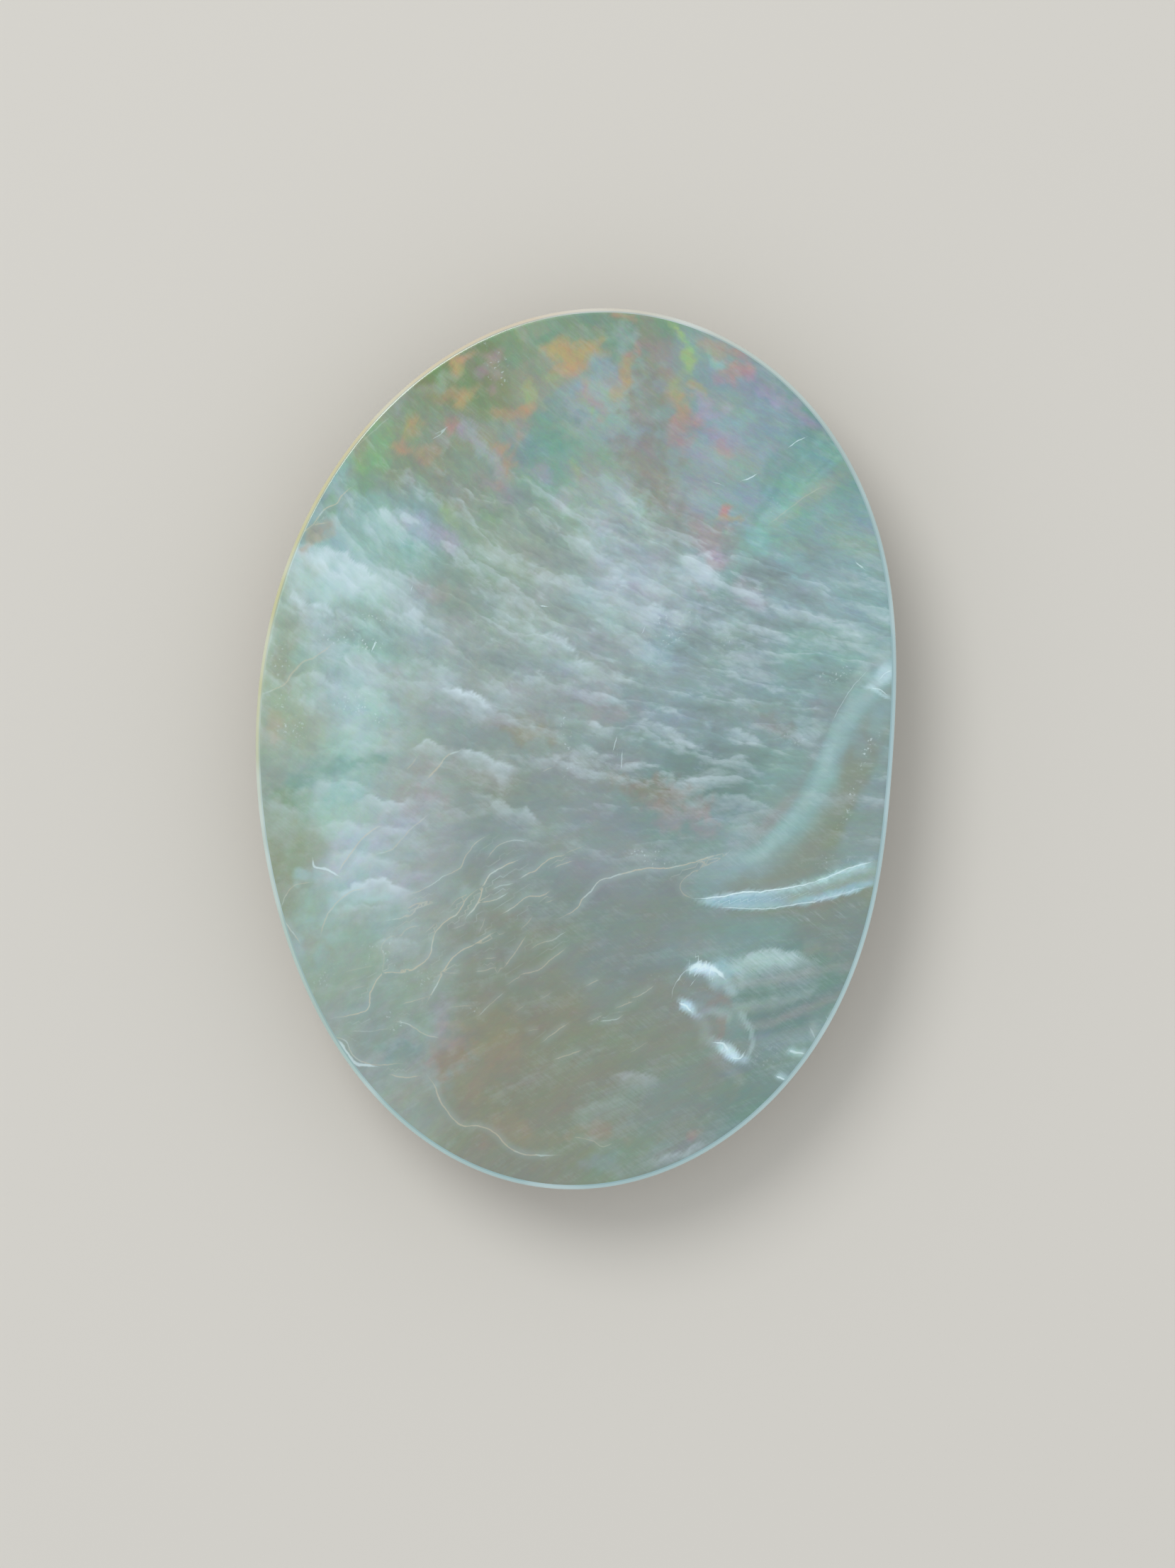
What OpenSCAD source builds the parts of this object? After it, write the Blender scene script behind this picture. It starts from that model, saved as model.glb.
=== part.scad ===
// Large oval mother-of-pearl button with a brass shank: the shell slab has no holes, and it is sewn
// on through a wire eye. The eye's legs pass through a round brass plate, a ring of solder holds
// each leg, and cement in an undercut pocket holds the plate and the legs' splayed feet.
// Frame: +Z points out of the polished face, Y runs along the length and X across the width.
// Z = 0 is the cloth, where the wire eye touches it. The slab's outline is centred on X = Y = 0.

/* [Pearl slab] */
// Width of the slab across X
slab_width = 40; // [30:0.5:60]
// Length of the slab along Y
slab_length = 55; // [40:0.5:80]
// Thickness of the slab from its back to its polished face
slab_thickness = 3.5; // [3.4:0.1:6]
// Width of the polished bevel around the face
face_bevel = 0.3; // [0.1:0.05:0.8]
// Width of the small chamfer around the back
back_chamfer = 0.25; // [0.1:0.05:0.5]
// Number of flats around the outline
outline_steps = 144; // [48:12:180]

/* [Hand-cut outline] */
// Turn of the oval's long axis away from Y, in degrees
oval_turn = -3.86; // [-10:0.01:10]
// Three-lobed waver of the outline, as a share of its radius
three_lobe = 0.0171; // [0:0.0001:0.03]
// Direction of the three-lobed waver, in degrees
three_lobe_angle = 144.5; // [0:0.5:360]
// Four-lobed waver, which fills the oval out a little between its axes
four_lobe = -0.0109; // [-0.02:0.0001:0.02]
// Five-lobed waver
five_lobe = -0.0027; // [-0.01:0.0001:0.01]

/* [Shank] */
// Diameter of the brass wire
wire_d = 1.2; // [0.8:0.1:1.4]
// Clear width inside the wire eye, for the needle and thread
eye_width = 3.6; // [2.5:0.1:4.5]
// Length of each leg between the round of the eye and the plate
leg_length = 0.8; // [0.8:0.1:3]
// Diameter of the brass plate
plate_d = 12; // [11:0.5:16]
// Thickness of the brass plate
plate_thickness = 0.8; // [0.5:0.1:1]
// How far the plate stands out of the back of the slab
plate_proud = 0.3; // [0.2:0.05:0.4]
// Length of the straight part of each splayed foot
foot_length = 1; // [0.5:0.1:1.5]
// Width of the solder ring on the plate around each leg
solder_width = 0.5; // [0.3:0.1:0.7]

/* [Pocket and cement] */
// Gap around the plate that the cement fills
cement_gap = 0.3; // [0.1:0.05:0.5]
// Thickness of the cement between the feet and the pocket's floor
cement_cover = 0.1; // [0.05:0.05:0.2]
// Height of the bead of cement squeezed out around the plate
bead_height = 0.2; // [0.05:0.05:0.2]
// How far the bead spreads onto the back of the slab
bead_spread = 0.25; // [0.1:0.05:0.5]
// How far the undercut reaches past the pocket's wall
undercut = 0.4; // [0.2:0.1:0.8]
// Height of the undercut, next to the pocket's floor
undercut_height = 0.7; // [0.4:0.1:0.9]

/* [Hidden] */

round_steps = 96;
wire_steps = 48;
hole_clearance = 0.04;
plate_edge = 0.2;
overcut = 1;

wire_r = wire_d / 2;
eye_r = eye_width / 2 + wire_r;
arc_z = eye_r + wire_r;
plate_r = plate_d / 2;
plate_z = arc_z + leg_length;
plate_inner_z = plate_z + plate_thickness;
back_z = plate_z + plate_proud;
face_z = back_z + slab_thickness;
foot_bend_r = 0.75 * wire_d;
foot_z = plate_inner_z + foot_bend_r;
pocket_r = plate_r + cement_gap;
pocket_floor_z = foot_z + wire_r + cement_cover;

// Radius of the hand-cut oval at an angle from +X, before it is fitted to its width and length.
function oval_radius(angle) =
    let (
        turned = angle - oval_turn,
        oval = 1 / norm([cos(turned) / slab_width, sin(turned) / slab_length])
    )
    oval * (1 + three_lobe * cos(3 * angle - three_lobe_angle)
              + four_lobe * cos(4 * angle)
              + five_lobe * cos(5 * angle));

function coordinates(points, axis) = [for (p = points) p[axis]];

// Moves and stretches values so that they run from -size / 2 to size / 2.
function fitted(values, size) =
    let (low = min(values), high = max(values))
    [for (v = values) size * ((v - low) / (high - low) - 0.5)];

raw_outline = [
    for (step = [0 : outline_steps - 1])
        let (angle = 360 * step / outline_steps)
        oval_radius(angle) * [cos(angle), sin(angle)]
];
outline_x = fitted(coordinates(raw_outline, 0), slab_width);
outline_y = fitted(coordinates(raw_outline, 1), slab_length);
outline = [for (i = [0 : outline_steps - 1]) [outline_x[i], outline_y[i]]];

// One ring of the slab: the outline moved inwards along its normals, at one height.
function ring(inset, z) = [
    for (i = [0 : outline_steps - 1])
        let (
            before = outline[(i + outline_steps - 1) % outline_steps],
            after = outline[(i + 1) % outline_steps],
            along = (after - before) / norm(after - before)
        )
        [outline[i][0] - inset * along[1], outline[i][1] + inset * along[0], z]
];

// A closed solid through rings of equal length, listed from the bottom up.
module ring_stack(rings) {
    count = len(rings[0]);
    top = (len(rings) - 1) * count;
    polyhedron(
        points = [for (r = rings) each r],
        faces = [
            [for (i = [0 : count - 1]) i],
            [for (i = [count - 1 : -1 : 0]) top + i],
            for (level = [0 : len(rings) - 2])
                for (i = [0 : count - 1])
                    let (a = level * count + i, b = level * count + (i + 1) % count)
                    [a, a + count, b + count, b]
        ]
    );
}

// The undercut pocket in the back of the slab, which starts a little outside it to cut its mouth.
module pocket(outside) {
    translate([0, 0, back_z - outside])
        cylinder(h = pocket_floor_z - back_z + outside, r = pocket_r, $fn = round_steps);
    translate([0, 0, pocket_floor_z - undercut_height])
        cylinder(h = undercut_height, r = pocket_r + undercut, $fn = round_steps);
}

// The polished shell slab, with a bevelled face and a pocket in its back.
module pearl_face() {
    color("#a9c0bd")
        difference() {
            ring_stack([
                ring(back_chamfer, back_z),
                ring(0, back_z + back_chamfer),
                ring(0, face_z - face_bevel),
                ring(face_bevel, face_z)
            ]);
            pocket(overcut);
        }
}

// Cement that fills the pocket around the plate and the feet, with a bead around the plate.
module bonding_cement() {
    color("#d8cfae")
        difference() {
            union() {
                pocket(0);
                rotate_extrude($fn = round_steps)
                    polygon([
                        [0, back_z],
                        [0, back_z - bead_height],
                        [plate_r, back_z - bead_height],
                        [pocket_r + bead_spread, back_z]
                    ]);
            }
            translate([0, 0, plate_z - overcut])
                cylinder(h = plate_thickness + overcut, r = plate_r, $fn = round_steps);
            both_legs();
        }
}

// Stamped brass disc with a bevelled rim and a hole for each leg.
module shank_plate() {
    color("#b8913f")
        difference() {
            rotate_extrude($fn = round_steps)
                polygon([
                    [0, plate_z],
                    [plate_r - plate_edge, plate_z],
                    [plate_r, plate_z + plate_edge],
                    [plate_r, plate_inner_z],
                    [0, plate_inner_z]
                ]);
            for (side = [-1, 1])
                translate([side * eye_r, 0, plate_z - overcut])
                    cylinder(
                        h = plate_thickness + 2 * overcut,
                        d = wire_d + hole_clearance,
                        $fn = wire_steps
                    );
        }
}

// Part of a wire ring in the XZ plane around a point, from one angle on to another.
module wire_arc(x, z, bend_r, from_angle, sweep) {
    translate([x, 0, z])
        rotate([90, 0, 0])
            rotate([0, 0, from_angle])
                rotate_extrude(angle = sweep, $fn = round_steps)
                    translate([bend_r, 0])
                        circle(r = wire_r, $fn = wire_steps);
}

// The leg on +X, from the round of the eye up through the plate to the end of its splayed foot.
module leg() {
    translate([eye_r, 0, arc_z])
        cylinder(h = plate_inner_z - arc_z, r = wire_r, $fn = wire_steps);
    wire_arc(eye_r + foot_bend_r, plate_inner_z, foot_bend_r, 90, 90);
    translate([eye_r + foot_bend_r, 0, foot_z])
        rotate([0, 90, 0])
            cylinder(h = foot_length, r = wire_r, $fn = wire_steps);
}

module both_legs() {
    leg();
    mirror([1, 0, 0]) leg();
}

// Brass wire bent into a round eye, with its legs through the plate and its feet splayed.
module wire_eye() {
    color("#c59b45") {
        wire_arc(0, arc_z, eye_r, 180, 180);
        both_legs();
    }
}

// A cone of solder around each leg, on the plate's outer face.
module solder_rings() {
    color("#b9b3a2")
        for (side = [-1, 1])
            translate([side * eye_r, 0, 0])
                rotate_extrude($fn = wire_steps)
                    polygon([
                        [wire_r, plate_z - solder_width],
                        [wire_r + solder_width, plate_z],
                        [wire_r, plate_z]
                    ]);
}

pearl_face();
bonding_cement();
shank_plate();
wire_eye();
solder_rings();
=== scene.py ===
"""Looks of the oval mother-of-pearl button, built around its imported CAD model.

The frame is in metres. The slab, its features and the shank are worked out in millimetres and scaled by
MM at the end: x to the right and y up from the middle of the face, and z up from the eye's lowest point.
"""
import math

import bpy
import numpy as np
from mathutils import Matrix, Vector
from mathutils.kdtree import KDTree


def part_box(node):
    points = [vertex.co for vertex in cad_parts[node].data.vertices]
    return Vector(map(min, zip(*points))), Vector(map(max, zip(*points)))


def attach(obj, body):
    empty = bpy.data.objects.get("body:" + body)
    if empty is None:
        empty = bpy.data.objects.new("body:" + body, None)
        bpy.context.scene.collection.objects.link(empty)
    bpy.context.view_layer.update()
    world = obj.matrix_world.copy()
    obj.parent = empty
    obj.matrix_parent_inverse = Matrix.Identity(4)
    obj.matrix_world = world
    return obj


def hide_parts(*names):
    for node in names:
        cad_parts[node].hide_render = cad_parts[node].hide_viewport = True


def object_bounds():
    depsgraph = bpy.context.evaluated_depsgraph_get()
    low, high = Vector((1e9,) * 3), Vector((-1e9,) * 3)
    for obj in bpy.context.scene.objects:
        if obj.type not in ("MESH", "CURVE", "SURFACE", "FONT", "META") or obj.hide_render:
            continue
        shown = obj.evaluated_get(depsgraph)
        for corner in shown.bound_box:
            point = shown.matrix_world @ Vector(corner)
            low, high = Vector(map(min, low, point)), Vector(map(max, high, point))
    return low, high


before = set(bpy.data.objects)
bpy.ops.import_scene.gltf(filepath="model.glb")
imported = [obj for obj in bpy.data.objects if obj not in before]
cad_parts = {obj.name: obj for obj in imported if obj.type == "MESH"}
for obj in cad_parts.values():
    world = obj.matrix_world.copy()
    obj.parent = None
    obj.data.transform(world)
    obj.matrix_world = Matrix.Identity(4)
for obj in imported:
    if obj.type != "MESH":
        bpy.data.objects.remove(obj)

CAD_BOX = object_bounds()
MM = 0.001

# ============ Camera, lights and floor
VIEW_HEIGHT = 97.7 * MM          # what the frame takes in, from top to bottom, at the face
VIEW_CENTRE = (0.72 * MM, -2.2 * MM)
CAMERA_DISTANCE = 0.32
SENSOR = 36.0
FLOOR_HALF = 1.5
WHITE = (1.0, 1.0, 1.0)
SKY_STRENGTH = 0.65
KEY_PLACE, KEY_SIZE, KEY_POWER, KEY_COLOUR = (-0.35, 0.45, 0.75), 0.5, 2.75, (1.0, 0.99, 0.97)


def make_camera():
    data = bpy.data.cameras.new("camera")
    data.sensor_fit = "VERTICAL"
    data.sensor_height = SENSOR
    data.lens = SENSOR * CAMERA_DISTANCE / VIEW_HEIGHT
    data.clip_start = 0.01
    camera = bpy.data.objects.new("camera", data)
    camera.location = (*VIEW_CENTRE, CAD_BOX[1][2] + CAMERA_DISTANCE)
    bpy.context.scene.collection.objects.link(camera)
    bpy.context.scene.camera = camera


def make_light(name, place, size, power, colour):
    data = bpy.data.lights.new(name, "AREA")
    data.shape = "DISK"
    data.size = size
    data.energy = power
    data.color = colour
    light = bpy.data.objects.new(name, data)
    light.location = place
    light.rotation_euler = (-Vector(place)).to_track_quat("-Z", "Y").to_euler()
    bpy.context.scene.collection.objects.link(light)


def make_world(colour, strength):
    world = bpy.data.worlds.new("studio")
    world.use_nodes = True
    background = world.node_tree.nodes["Background"]
    background.inputs["Color"].default_value = (*colour, 1)
    background.inputs["Strength"].default_value = strength
    bpy.context.scene.world = world


# ============ Node graphs
def linear(code):
    """A colour written as #rrggbb, in linear light with alpha."""
    parts = [int(code[i:i + 2], 16) / 255 for i in (1, 3, 5)]
    return (*[c / 12.92 if c <= 0.04045 else ((c + 0.055) / 1.055) ** 2.4 for c in parts], 1.0)


GLOSS, LIGHT = 0.053, 0.80       # what the polish adds, and how much of a base colour comes back


def shell(code):
    """The base colour that looks like this one on the polished shell, under the studio light."""
    return (*[max((c - GLOSS) / LIGHT, 0) for c in linear(code)[:3]], 1.0)


class Graph:
    """A material's node tree, with a method for each kind of step. Steps take sockets or numbers."""

    def __init__(self, name):
        self.material = bpy.data.materials.new(name)
        self.material.use_nodes = True
        self.tree = self.material.node_tree
        self.shader = self.tree.nodes["Principled BSDF"]

    def put(self, socket, value):
        if isinstance(value, bpy.types.NodeSocket):
            self.tree.links.new(value, socket)
        elif value is not None:
            socket.default_value = value

    def add(self, kind, settings=None, **inputs):
        node = self.tree.nodes.new("ShaderNode" + kind)
        for key, value in (settings or {}).items():
            setattr(node, key, value)
        for key, value in inputs.items():
            self.put(node.inputs[key], value)
        return node

    def attribute(self, name, output="Fac"):
        return self.add("Attribute", {"attribute_name": name}).outputs[output]

    def place(self):
        """Where the point is, in millimetres."""
        return self.stretch(self.add("TexCoord").outputs["Object"], (1 / MM, 1 / MM, 1 / MM))

    def math(self, operation, a, b=None, clamp=False):
        node = self.add("Math", {"operation": operation, "use_clamp": clamp})
        for socket, value in zip(node.inputs, (a, b)):
            self.put(socket, value)
        return node.outputs[0]

    def times(self, a, b, clamp=False):
        return self.math("MULTIPLY", a, b, clamp)

    def plus(self, a, b):
        return self.math("ADD", a, b)

    def minus(self, a, b):
        return self.math("SUBTRACT", a, b)

    def sum(self, total, *terms):
        """The total plus each further amount times its weight."""
        for amount, weight in terms:
            total = self.plus(total, self.times(amount, weight))
        return total

    def vector(self, operation, a, b=None):
        node = self.add("VectorMath", {"operation": operation})
        self.put(node.inputs[0], a)
        self.put(node.inputs[1], b)
        return node.outputs["Value" if operation in ("LENGTH", "DOT_PRODUCT") else "Vector"]

    def stretch(self, vector, factors):
        return self.vector("MULTIPLY", vector, factors)

    def split(self, vector):
        return self.add("SeparateXYZ", Vector=vector).outputs

    def noise(self, vector, size, detail=4.0, roughness=0.55, output="Fac"):
        """Noise with features of about this size, in millimetres where vector is a plain place."""
        return self.add("TexNoise", {"noise_type": "FBM"}, Vector=vector, Scale=1.0 / size, Detail=detail,
                        Roughness=roughness).outputs[output]

    def centred(self, vector, size, detail=4.0, roughness=0.55):
        """Noise in three channels, each around zero."""
        noise = self.noise(vector, size, detail, roughness, "Color")
        return self.vector("SUBTRACT", noise, (0.5, 0.5, 0.5))

    def spots(self, vector, scale):
        """The cells of a Voronoi texture, so many to a millimetre."""
        return self.add("TexVoronoi", {"feature": "F1"}, Vector=vector, Scale=scale).outputs

    def step(self, value, low, high, to_low=0.0, to_high=1.0):
        """A smooth step from to_low to to_high as value goes from low to high."""
        node = self.add("MapRange", {"interpolation_type": "SMOOTHSTEP"})
        for socket, setting in zip(node.inputs, (value, low, high, to_low, to_high)):
            self.put(socket, setting)
        return node.outputs["Result"]

    def mix(self, factor, a, b):
        node = self.add("Mix", {"data_type": "RGBA", "clamp_factor": True})
        self.put(node.inputs[0], factor)
        self.put(node.inputs[6], a)
        self.put(node.inputs[7], b)
        return node.outputs[2]

    def cover(self, colour, amount, strength, tone):
        """The colour, covered by a tone as far as amount and strength say."""
        return self.mix(self.times(amount, strength), colour, tone)

    def tint(self, colour, vector, size, detail, roughness, amounts):
        """The colour with each of its channels varied by noise."""
        hues = self.stretch(self.centred(vector, size, detail, roughness), amounts)
        return self.stretch(colour, self.vector("ADD", hues, WHITE))

    def ramp(self, factor, stops):
        node = self.add("ValToRGB", Fac=factor)
        elements = node.color_ramp.elements
        while len(elements) < len(stops):
            elements.new(0.5)
        for element, (position, code) in zip(elements, stops):
            element.position = position
            element.color = linear(code)
        return node.outputs["Color"]

    def bump(self, height, distance, strength=1.0):
        node = self.add("Bump", Height=height, Distance=distance, Strength=strength)
        return node.outputs["Normal"]

    def finish(self, **inputs):
        for key, value in inputs.items():
            self.put(self.shader.inputs[key.replace("_", " ")], value)
        return self.material


# ============ The slab's shape. The outline follows the same formula as the CAD model, fitted to its box.
OVAL_WIDTH, OVAL_LENGTH = 40.0, 55.0
OVAL_TURN = math.radians(-3.86)
LOBES = ((3, 0.0171, math.radians(144.5)), (4, -0.0109, 0.0), (5, -0.0027, 0.0))
SKIN = 0.012                     # how far the smooth outline stays inside the CAD model's flats
FACE_BEVEL, BACK_CHAMFER = 0.30, 0.25
CELLS_X, CELLS_Y = 220, 303
OUTLINE_STEPS = 7200
TINY_TURN = 1e-4
POCKET_R, UNDERCUT_R, UNDERCUT_HEIGHT = 6.3, 6.7, 0.7

SLAB_LOW, SLAB_HIGH = (np.array(corner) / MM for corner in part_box("pearl_face"))
FACE_Z, BACK_Z = SLAB_HIGH[2], SLAB_LOW[2]
POCKET_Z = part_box("bonding_cement")[1][2] / MM
BEVEL_DEPTH = 0.33
BEVEL = ((0.25, 0.02), (0.14, 0.14), (0.04, 0.26), (0.005, BEVEL_DEPTH))     # inset and drop of each ring
SIDE_TOP, SIDE_FOOT, SIDE_RINGS = 0.42, 0.32, 5
BACK_ROUND = (0.05, 0.1)         # inset and height of the ring between the side and the back's chamfer
BACK_RINGS = 6


def raw_outline(angle):
    turned = angle - OVAL_TURN
    radius = 1 / np.hypot(np.cos(turned) / OVAL_WIDTH, np.sin(turned) / OVAL_LENGTH)
    radius = radius * (1 + sum(size * np.cos(n * angle - phase) for n, size, phase in LOBES))
    return np.stack([radius * np.cos(angle), radius * np.sin(angle)], -1)


AROUND = raw_outline(np.linspace(0, 2 * np.pi, OUTLINE_STEPS, endpoint=False))
RAW_LOW, RAW_HIGH = AROUND.min(0), AROUND.max(0)


def outline(angle, inset=0.0):
    """Points of the slab's outline at these angles, moved inwards along its normals."""
    def fitted(a):
        share = (raw_outline(a) - RAW_LOW) / (RAW_HIGH - RAW_LOW)
        return SLAB_LOW[:2] + SKIN + share * (SLAB_HIGH[:2] - SLAB_LOW[:2] - 2 * SKIN)
    along = fitted(angle + TINY_TURN) - fitted(angle - TINY_TURN)
    along /= np.linalg.norm(along, axis=-1, keepdims=True)
    return fitted(angle) + inset * np.stack([-along[..., 1], along[..., 0]], -1)


def slab_mesh():
    """The slab's points, its faces, the cap that closes its pocket, and how many faces each part has.

    The parts are the polished face, the bevel, the side, and the back with its pocket.
    """
    across, up = np.meshgrid(np.linspace(-1, 1, CELLS_X + 1), np.linspace(-1, 1, CELLS_Y + 1))
    disc = np.stack([across * np.sqrt(1 - up ** 2 / 2), up * np.sqrt(1 - across ** 2 / 2)], -1)
    disc = disc.reshape(-1, 2)
    angle = np.arctan2(disc[:, 1], disc[:, 0])
    reach = np.linalg.norm(disc, axis=1, keepdims=True)
    middle = (SLAB_LOW[:2] + SLAB_HIGH[:2]) / 2
    face = middle + reach * (outline(angle, FACE_BEVEL) - middle)
    points = [np.column_stack([face, np.full(len(face), FACE_Z)])]

    row = CELLS_X + 1
    corner = (np.arange(CELLS_Y)[:, None] * row + np.arange(CELLS_X)).ravel()
    faces = [np.stack([corner, corner + 1, corner + row + 1, corner + row], -1)]
    loop = np.concatenate([
        np.arange(CELLS_X), np.arange(CELLS_Y) * row + CELLS_X,
        CELLS_Y * row + np.arange(CELLS_X, 0, -1), np.arange(CELLS_Y, 0, -1) * row])
    turn = angle[loop]
    circle = np.stack([np.cos(turn), np.sin(turn)], -1)

    def edge(inset, z):
        return np.column_stack([outline(turn, inset), np.full(len(turn), z)])

    def round_ring(radius, z):
        return np.column_stack([radius * circle, np.full(len(turn), z)])

    bevel_rings = [edge(inset, FACE_Z - drop) for inset, drop in BEVEL]
    side_rings = [edge(0.0, z) for z in np.linspace(FACE_Z - SIDE_TOP, BACK_Z + SIDE_FOOT, SIDE_RINGS)]
    side_rings += [edge(BACK_ROUND[0], BACK_Z + BACK_ROUND[1]), edge(BACK_CHAMFER, BACK_Z)]
    last = side_rings[-1]
    mouth = round_ring(POCKET_R, BACK_Z)
    back_rings = [last + (mouth - last) * share for share in np.linspace(0, 1, BACK_RINGS + 1)[1:]]
    back_rings += [round_ring(POCKET_R, POCKET_Z - UNDERCUT_HEIGHT),
                   round_ring(UNDERCUT_R, POCKET_Z - UNDERCUT_HEIGHT), round_ring(UNDERCUT_R, POCKET_Z)]
    counts = [len(faces[0])]
    inner, total = loop, len(points[0])
    for rings in (bevel_rings, side_rings, back_rings):
        counts.append(len(rings) * len(loop))
        for ring in rings:
            points.append(ring)
            outer = total + np.arange(len(loop))
            faces.append(np.stack([inner, outer, np.roll(outer, -1), np.roll(inner, -1)], -1))
            inner, total = outer, total + len(loop)
    cap = [int(i) for i in inner]
    return np.concatenate(points), np.concatenate(faces), cap, counts


# ============ Fields over the face, in millimetres
def smooth(value, low, high):
    share = np.clip((value - low) / (high - low), 0, 1)
    return share * share * (3 - 2 * share)


def lattice_noise(x, y, seed):
    """Gradient noise with cells of one unit, from about -0.7 to 0.7."""
    ix, iy = np.floor(x), np.floor(y)
    fx, fy = x - ix, y - iy
    wx, wy = (f * f * f * (f * (f * 6 - 15) + 10) for f in (fx, fy))

    def corner(dx, dy):
        # Each corner's slope points in a direction scrambled from its place and the seed.
        spin = np.sin((ix + dx) * 127.1 + (iy + dy) * 311.7 + seed * 74.7) * 43758.5453
        spin = (spin - np.floor(spin)) * 2 * np.pi
        return (fx - dx) * np.cos(spin) + (fy - dy) * np.sin(spin)
    low = corner(0, 0) + wx * (corner(1, 0) - corner(0, 0))
    high = corner(0, 1) + wx * (corner(1, 1) - corner(0, 1))
    return low + wy * (high - low)


def layered_noise(x, y, size, octaves, seed):
    total = sum(0.5 ** k * lattice_noise(x / size * 2 ** k, y / size * 2 ** k, seed + k)
                for k in range(octaves))
    return total * 1.4


def spline(points, spacing=0.06):
    """Closely spaced points, and unit tangents, along a smooth curve through a few points."""
    knots = np.array(points, float)
    knots = np.vstack([2 * knots[0] - knots[1], knots, 2 * knots[-1] - knots[-2]])
    pieces = []
    for a, b, c, d in zip(knots, knots[1:], knots[2:], knots[3:]):
        t = np.linspace(0, 1, max(2, int(np.linalg.norm(c - b) / spacing)), endpoint=False)[:, None]
        pieces.append(0.5 * (2 * b + (c - a) * t + (2 * a - 5 * b + 4 * c - d) * t ** 2
                             + (3 * b - a - 3 * c + d) * t ** 3))
    path = np.vstack(pieces + [knots[-2:-1]])
    tangent = np.gradient(path, axis=0)
    return path, tangent / np.linalg.norm(tangent, axis=1, keepdims=True)


class Strokes:
    """Where each point lies beside the nearest of several curves.

    That is its distance across to the left, beyond an end and in all, its place along the curve from
    zero to one, and which curve it is.
    """

    def __init__(self, curves, x, y):
        paths, tangents, places, owners = [], [], [], []
        for number, curve in enumerate(curves):
            path, tangent = spline(curve)
            paths.append(path)
            tangents.append(tangent)
            places.append(np.linspace(0, 1, len(path)))
            owners.append(np.full(len(path), number))
        path, tangent = np.vstack(paths), np.vstack(tangents)
        tree = KDTree(len(path))
        for i, (px, py) in enumerate(path):
            tree.insert((px, py, 0), i)
        tree.balance()
        nearest = np.array([tree.find((px, py, 0))[1] for px, py in zip(x, y)])
        away = np.stack([x, y], -1) - path[nearest]
        side = tangent[nearest]
        self.across = side[:, 0] * away[:, 1] - side[:, 1] * away[:, 0]
        self.beyond = np.abs((side * away).sum(1))
        self.distance = np.linalg.norm(away, axis=1)
        self.place = np.concatenate(places)[nearest]
        self.owner = np.concatenate(owners)[nearest]


# Tones of the shell as it looks from above.
TONES = {name: np.array(shell(code)[:3]) for name, code in {
    "straw": "#9eafa0", "fern": "#8c9984", "moss": "#939f8e", "sage": "#95a79e", "teal": "#7ea39d",
    "mist": "#9db2b0", "ice": "#a8c6c6", "haze": "#9cacaa", "sky": "#a3b7bc", "steel": "#94aab1",
    "lagoon": "#8caaaa", "pool": "#90b2b4", "slate": "#8ba1a3", "dusk": "#8e9c9d", "pewter": "#859390",
    "taupe": "#889085", "umber": "#8b9080", "reed": "#859687", "glacier": "#9cbdbb", "snow": "#abced0",
    "deep_teal": "#749c97", "aqua": "#8fb8b6", "frost": "#c2e3ec", "tan": "#979480", "olive": "#84947a",
    "gold": "#b6a477", "orange": "#bd9e80", "rose": "#b0949b", "coral": "#b7928c", "lilac": "#a6a2b6",
    "blush": "#a69ca1", "lime": "#9eb584", "green": "#82aa89", "blue": "#88adba", "lavender": "#abb6c6",
    "pearl": "#bccacd", "brown": "#8f8b7b", "dark_green": "#7a9a84", "drab": "#8a958b",
    "brook": "#8fb0b4", "drift": "#98c0ca", "ash": "#8d9a96", "fjord": "#76918d", "bark": "#8b9088",
    "clay": "#938d88", "moor": "#7c8f6c", "thyme": "#8da197", "pale": "#a9bcc3", "dove": "#99afb9",
    "rock": "#819997", "fog": "#95aca9", "brine": "#95b5b4", "glare": "#d2eef8"}.items()}

# The broad tone of each stretch of the face: for each row its y, its first x, and the tones along it.
TONE_SPACING = 4
TONE_SPREAD = 6.0                # how far each tone reaches, as twice the square of its radius
BROAD_TONES = [
    (26, 2, "dark_green"),
    (23, -6, "moor moss"),
    (22, 2, "mist dusk slate"),
    (18, -10, "fern moss teal sage dusk steel deep_teal"),
    (14, -14, "brine aqua sage sage sky haze lagoon lagoon"),
    (10, -14, "ice fog thyme haze sky pale slate dove lagoon"),
    (6, -18, "straw brine mist haze mist haze dove slate lagoon pool"),
    (2, -18, "straw ice mist dusk haze slate steel slate slate lagoon"),
    (-2, -18, "sage glacier haze drab dusk dusk fjord fjord lagoon"),
    (-6, -18, "fern ice haze dusk dusk dusk rock steel pewter reed"),
    (-10, -14, "glacier haze drab pewter pewter pewter rock"),
    (-11, 15, "pewter"),
    (-14, -14, "sage sage taupe taupe pewter pewter lagoon fjord"),
    (-18, -10, "dusk umber umber taupe taupe pewter rock"),
    (-22, -10, "sage umber umber taupe pewter fjord"),
    (-25, 6, "pewter"),
    (-26, -2, "taupe reed"),
]


def table(text):
    """Rows that stand one after another, with semicolons between them: numbers, and names of tones."""
    return [[word if word[0].isalpha() else float(word) for word in row.split()] for row in text.split(";")]


def curves(text):
    """Rows of 'x y, x y, ...: values', each as the curve's points followed by the values."""
    rows = [row.split(":") for row in text.split(";")]
    return [(table(points.replace(",", ";")), *table(values)[0]) for points, values in rows]


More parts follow.
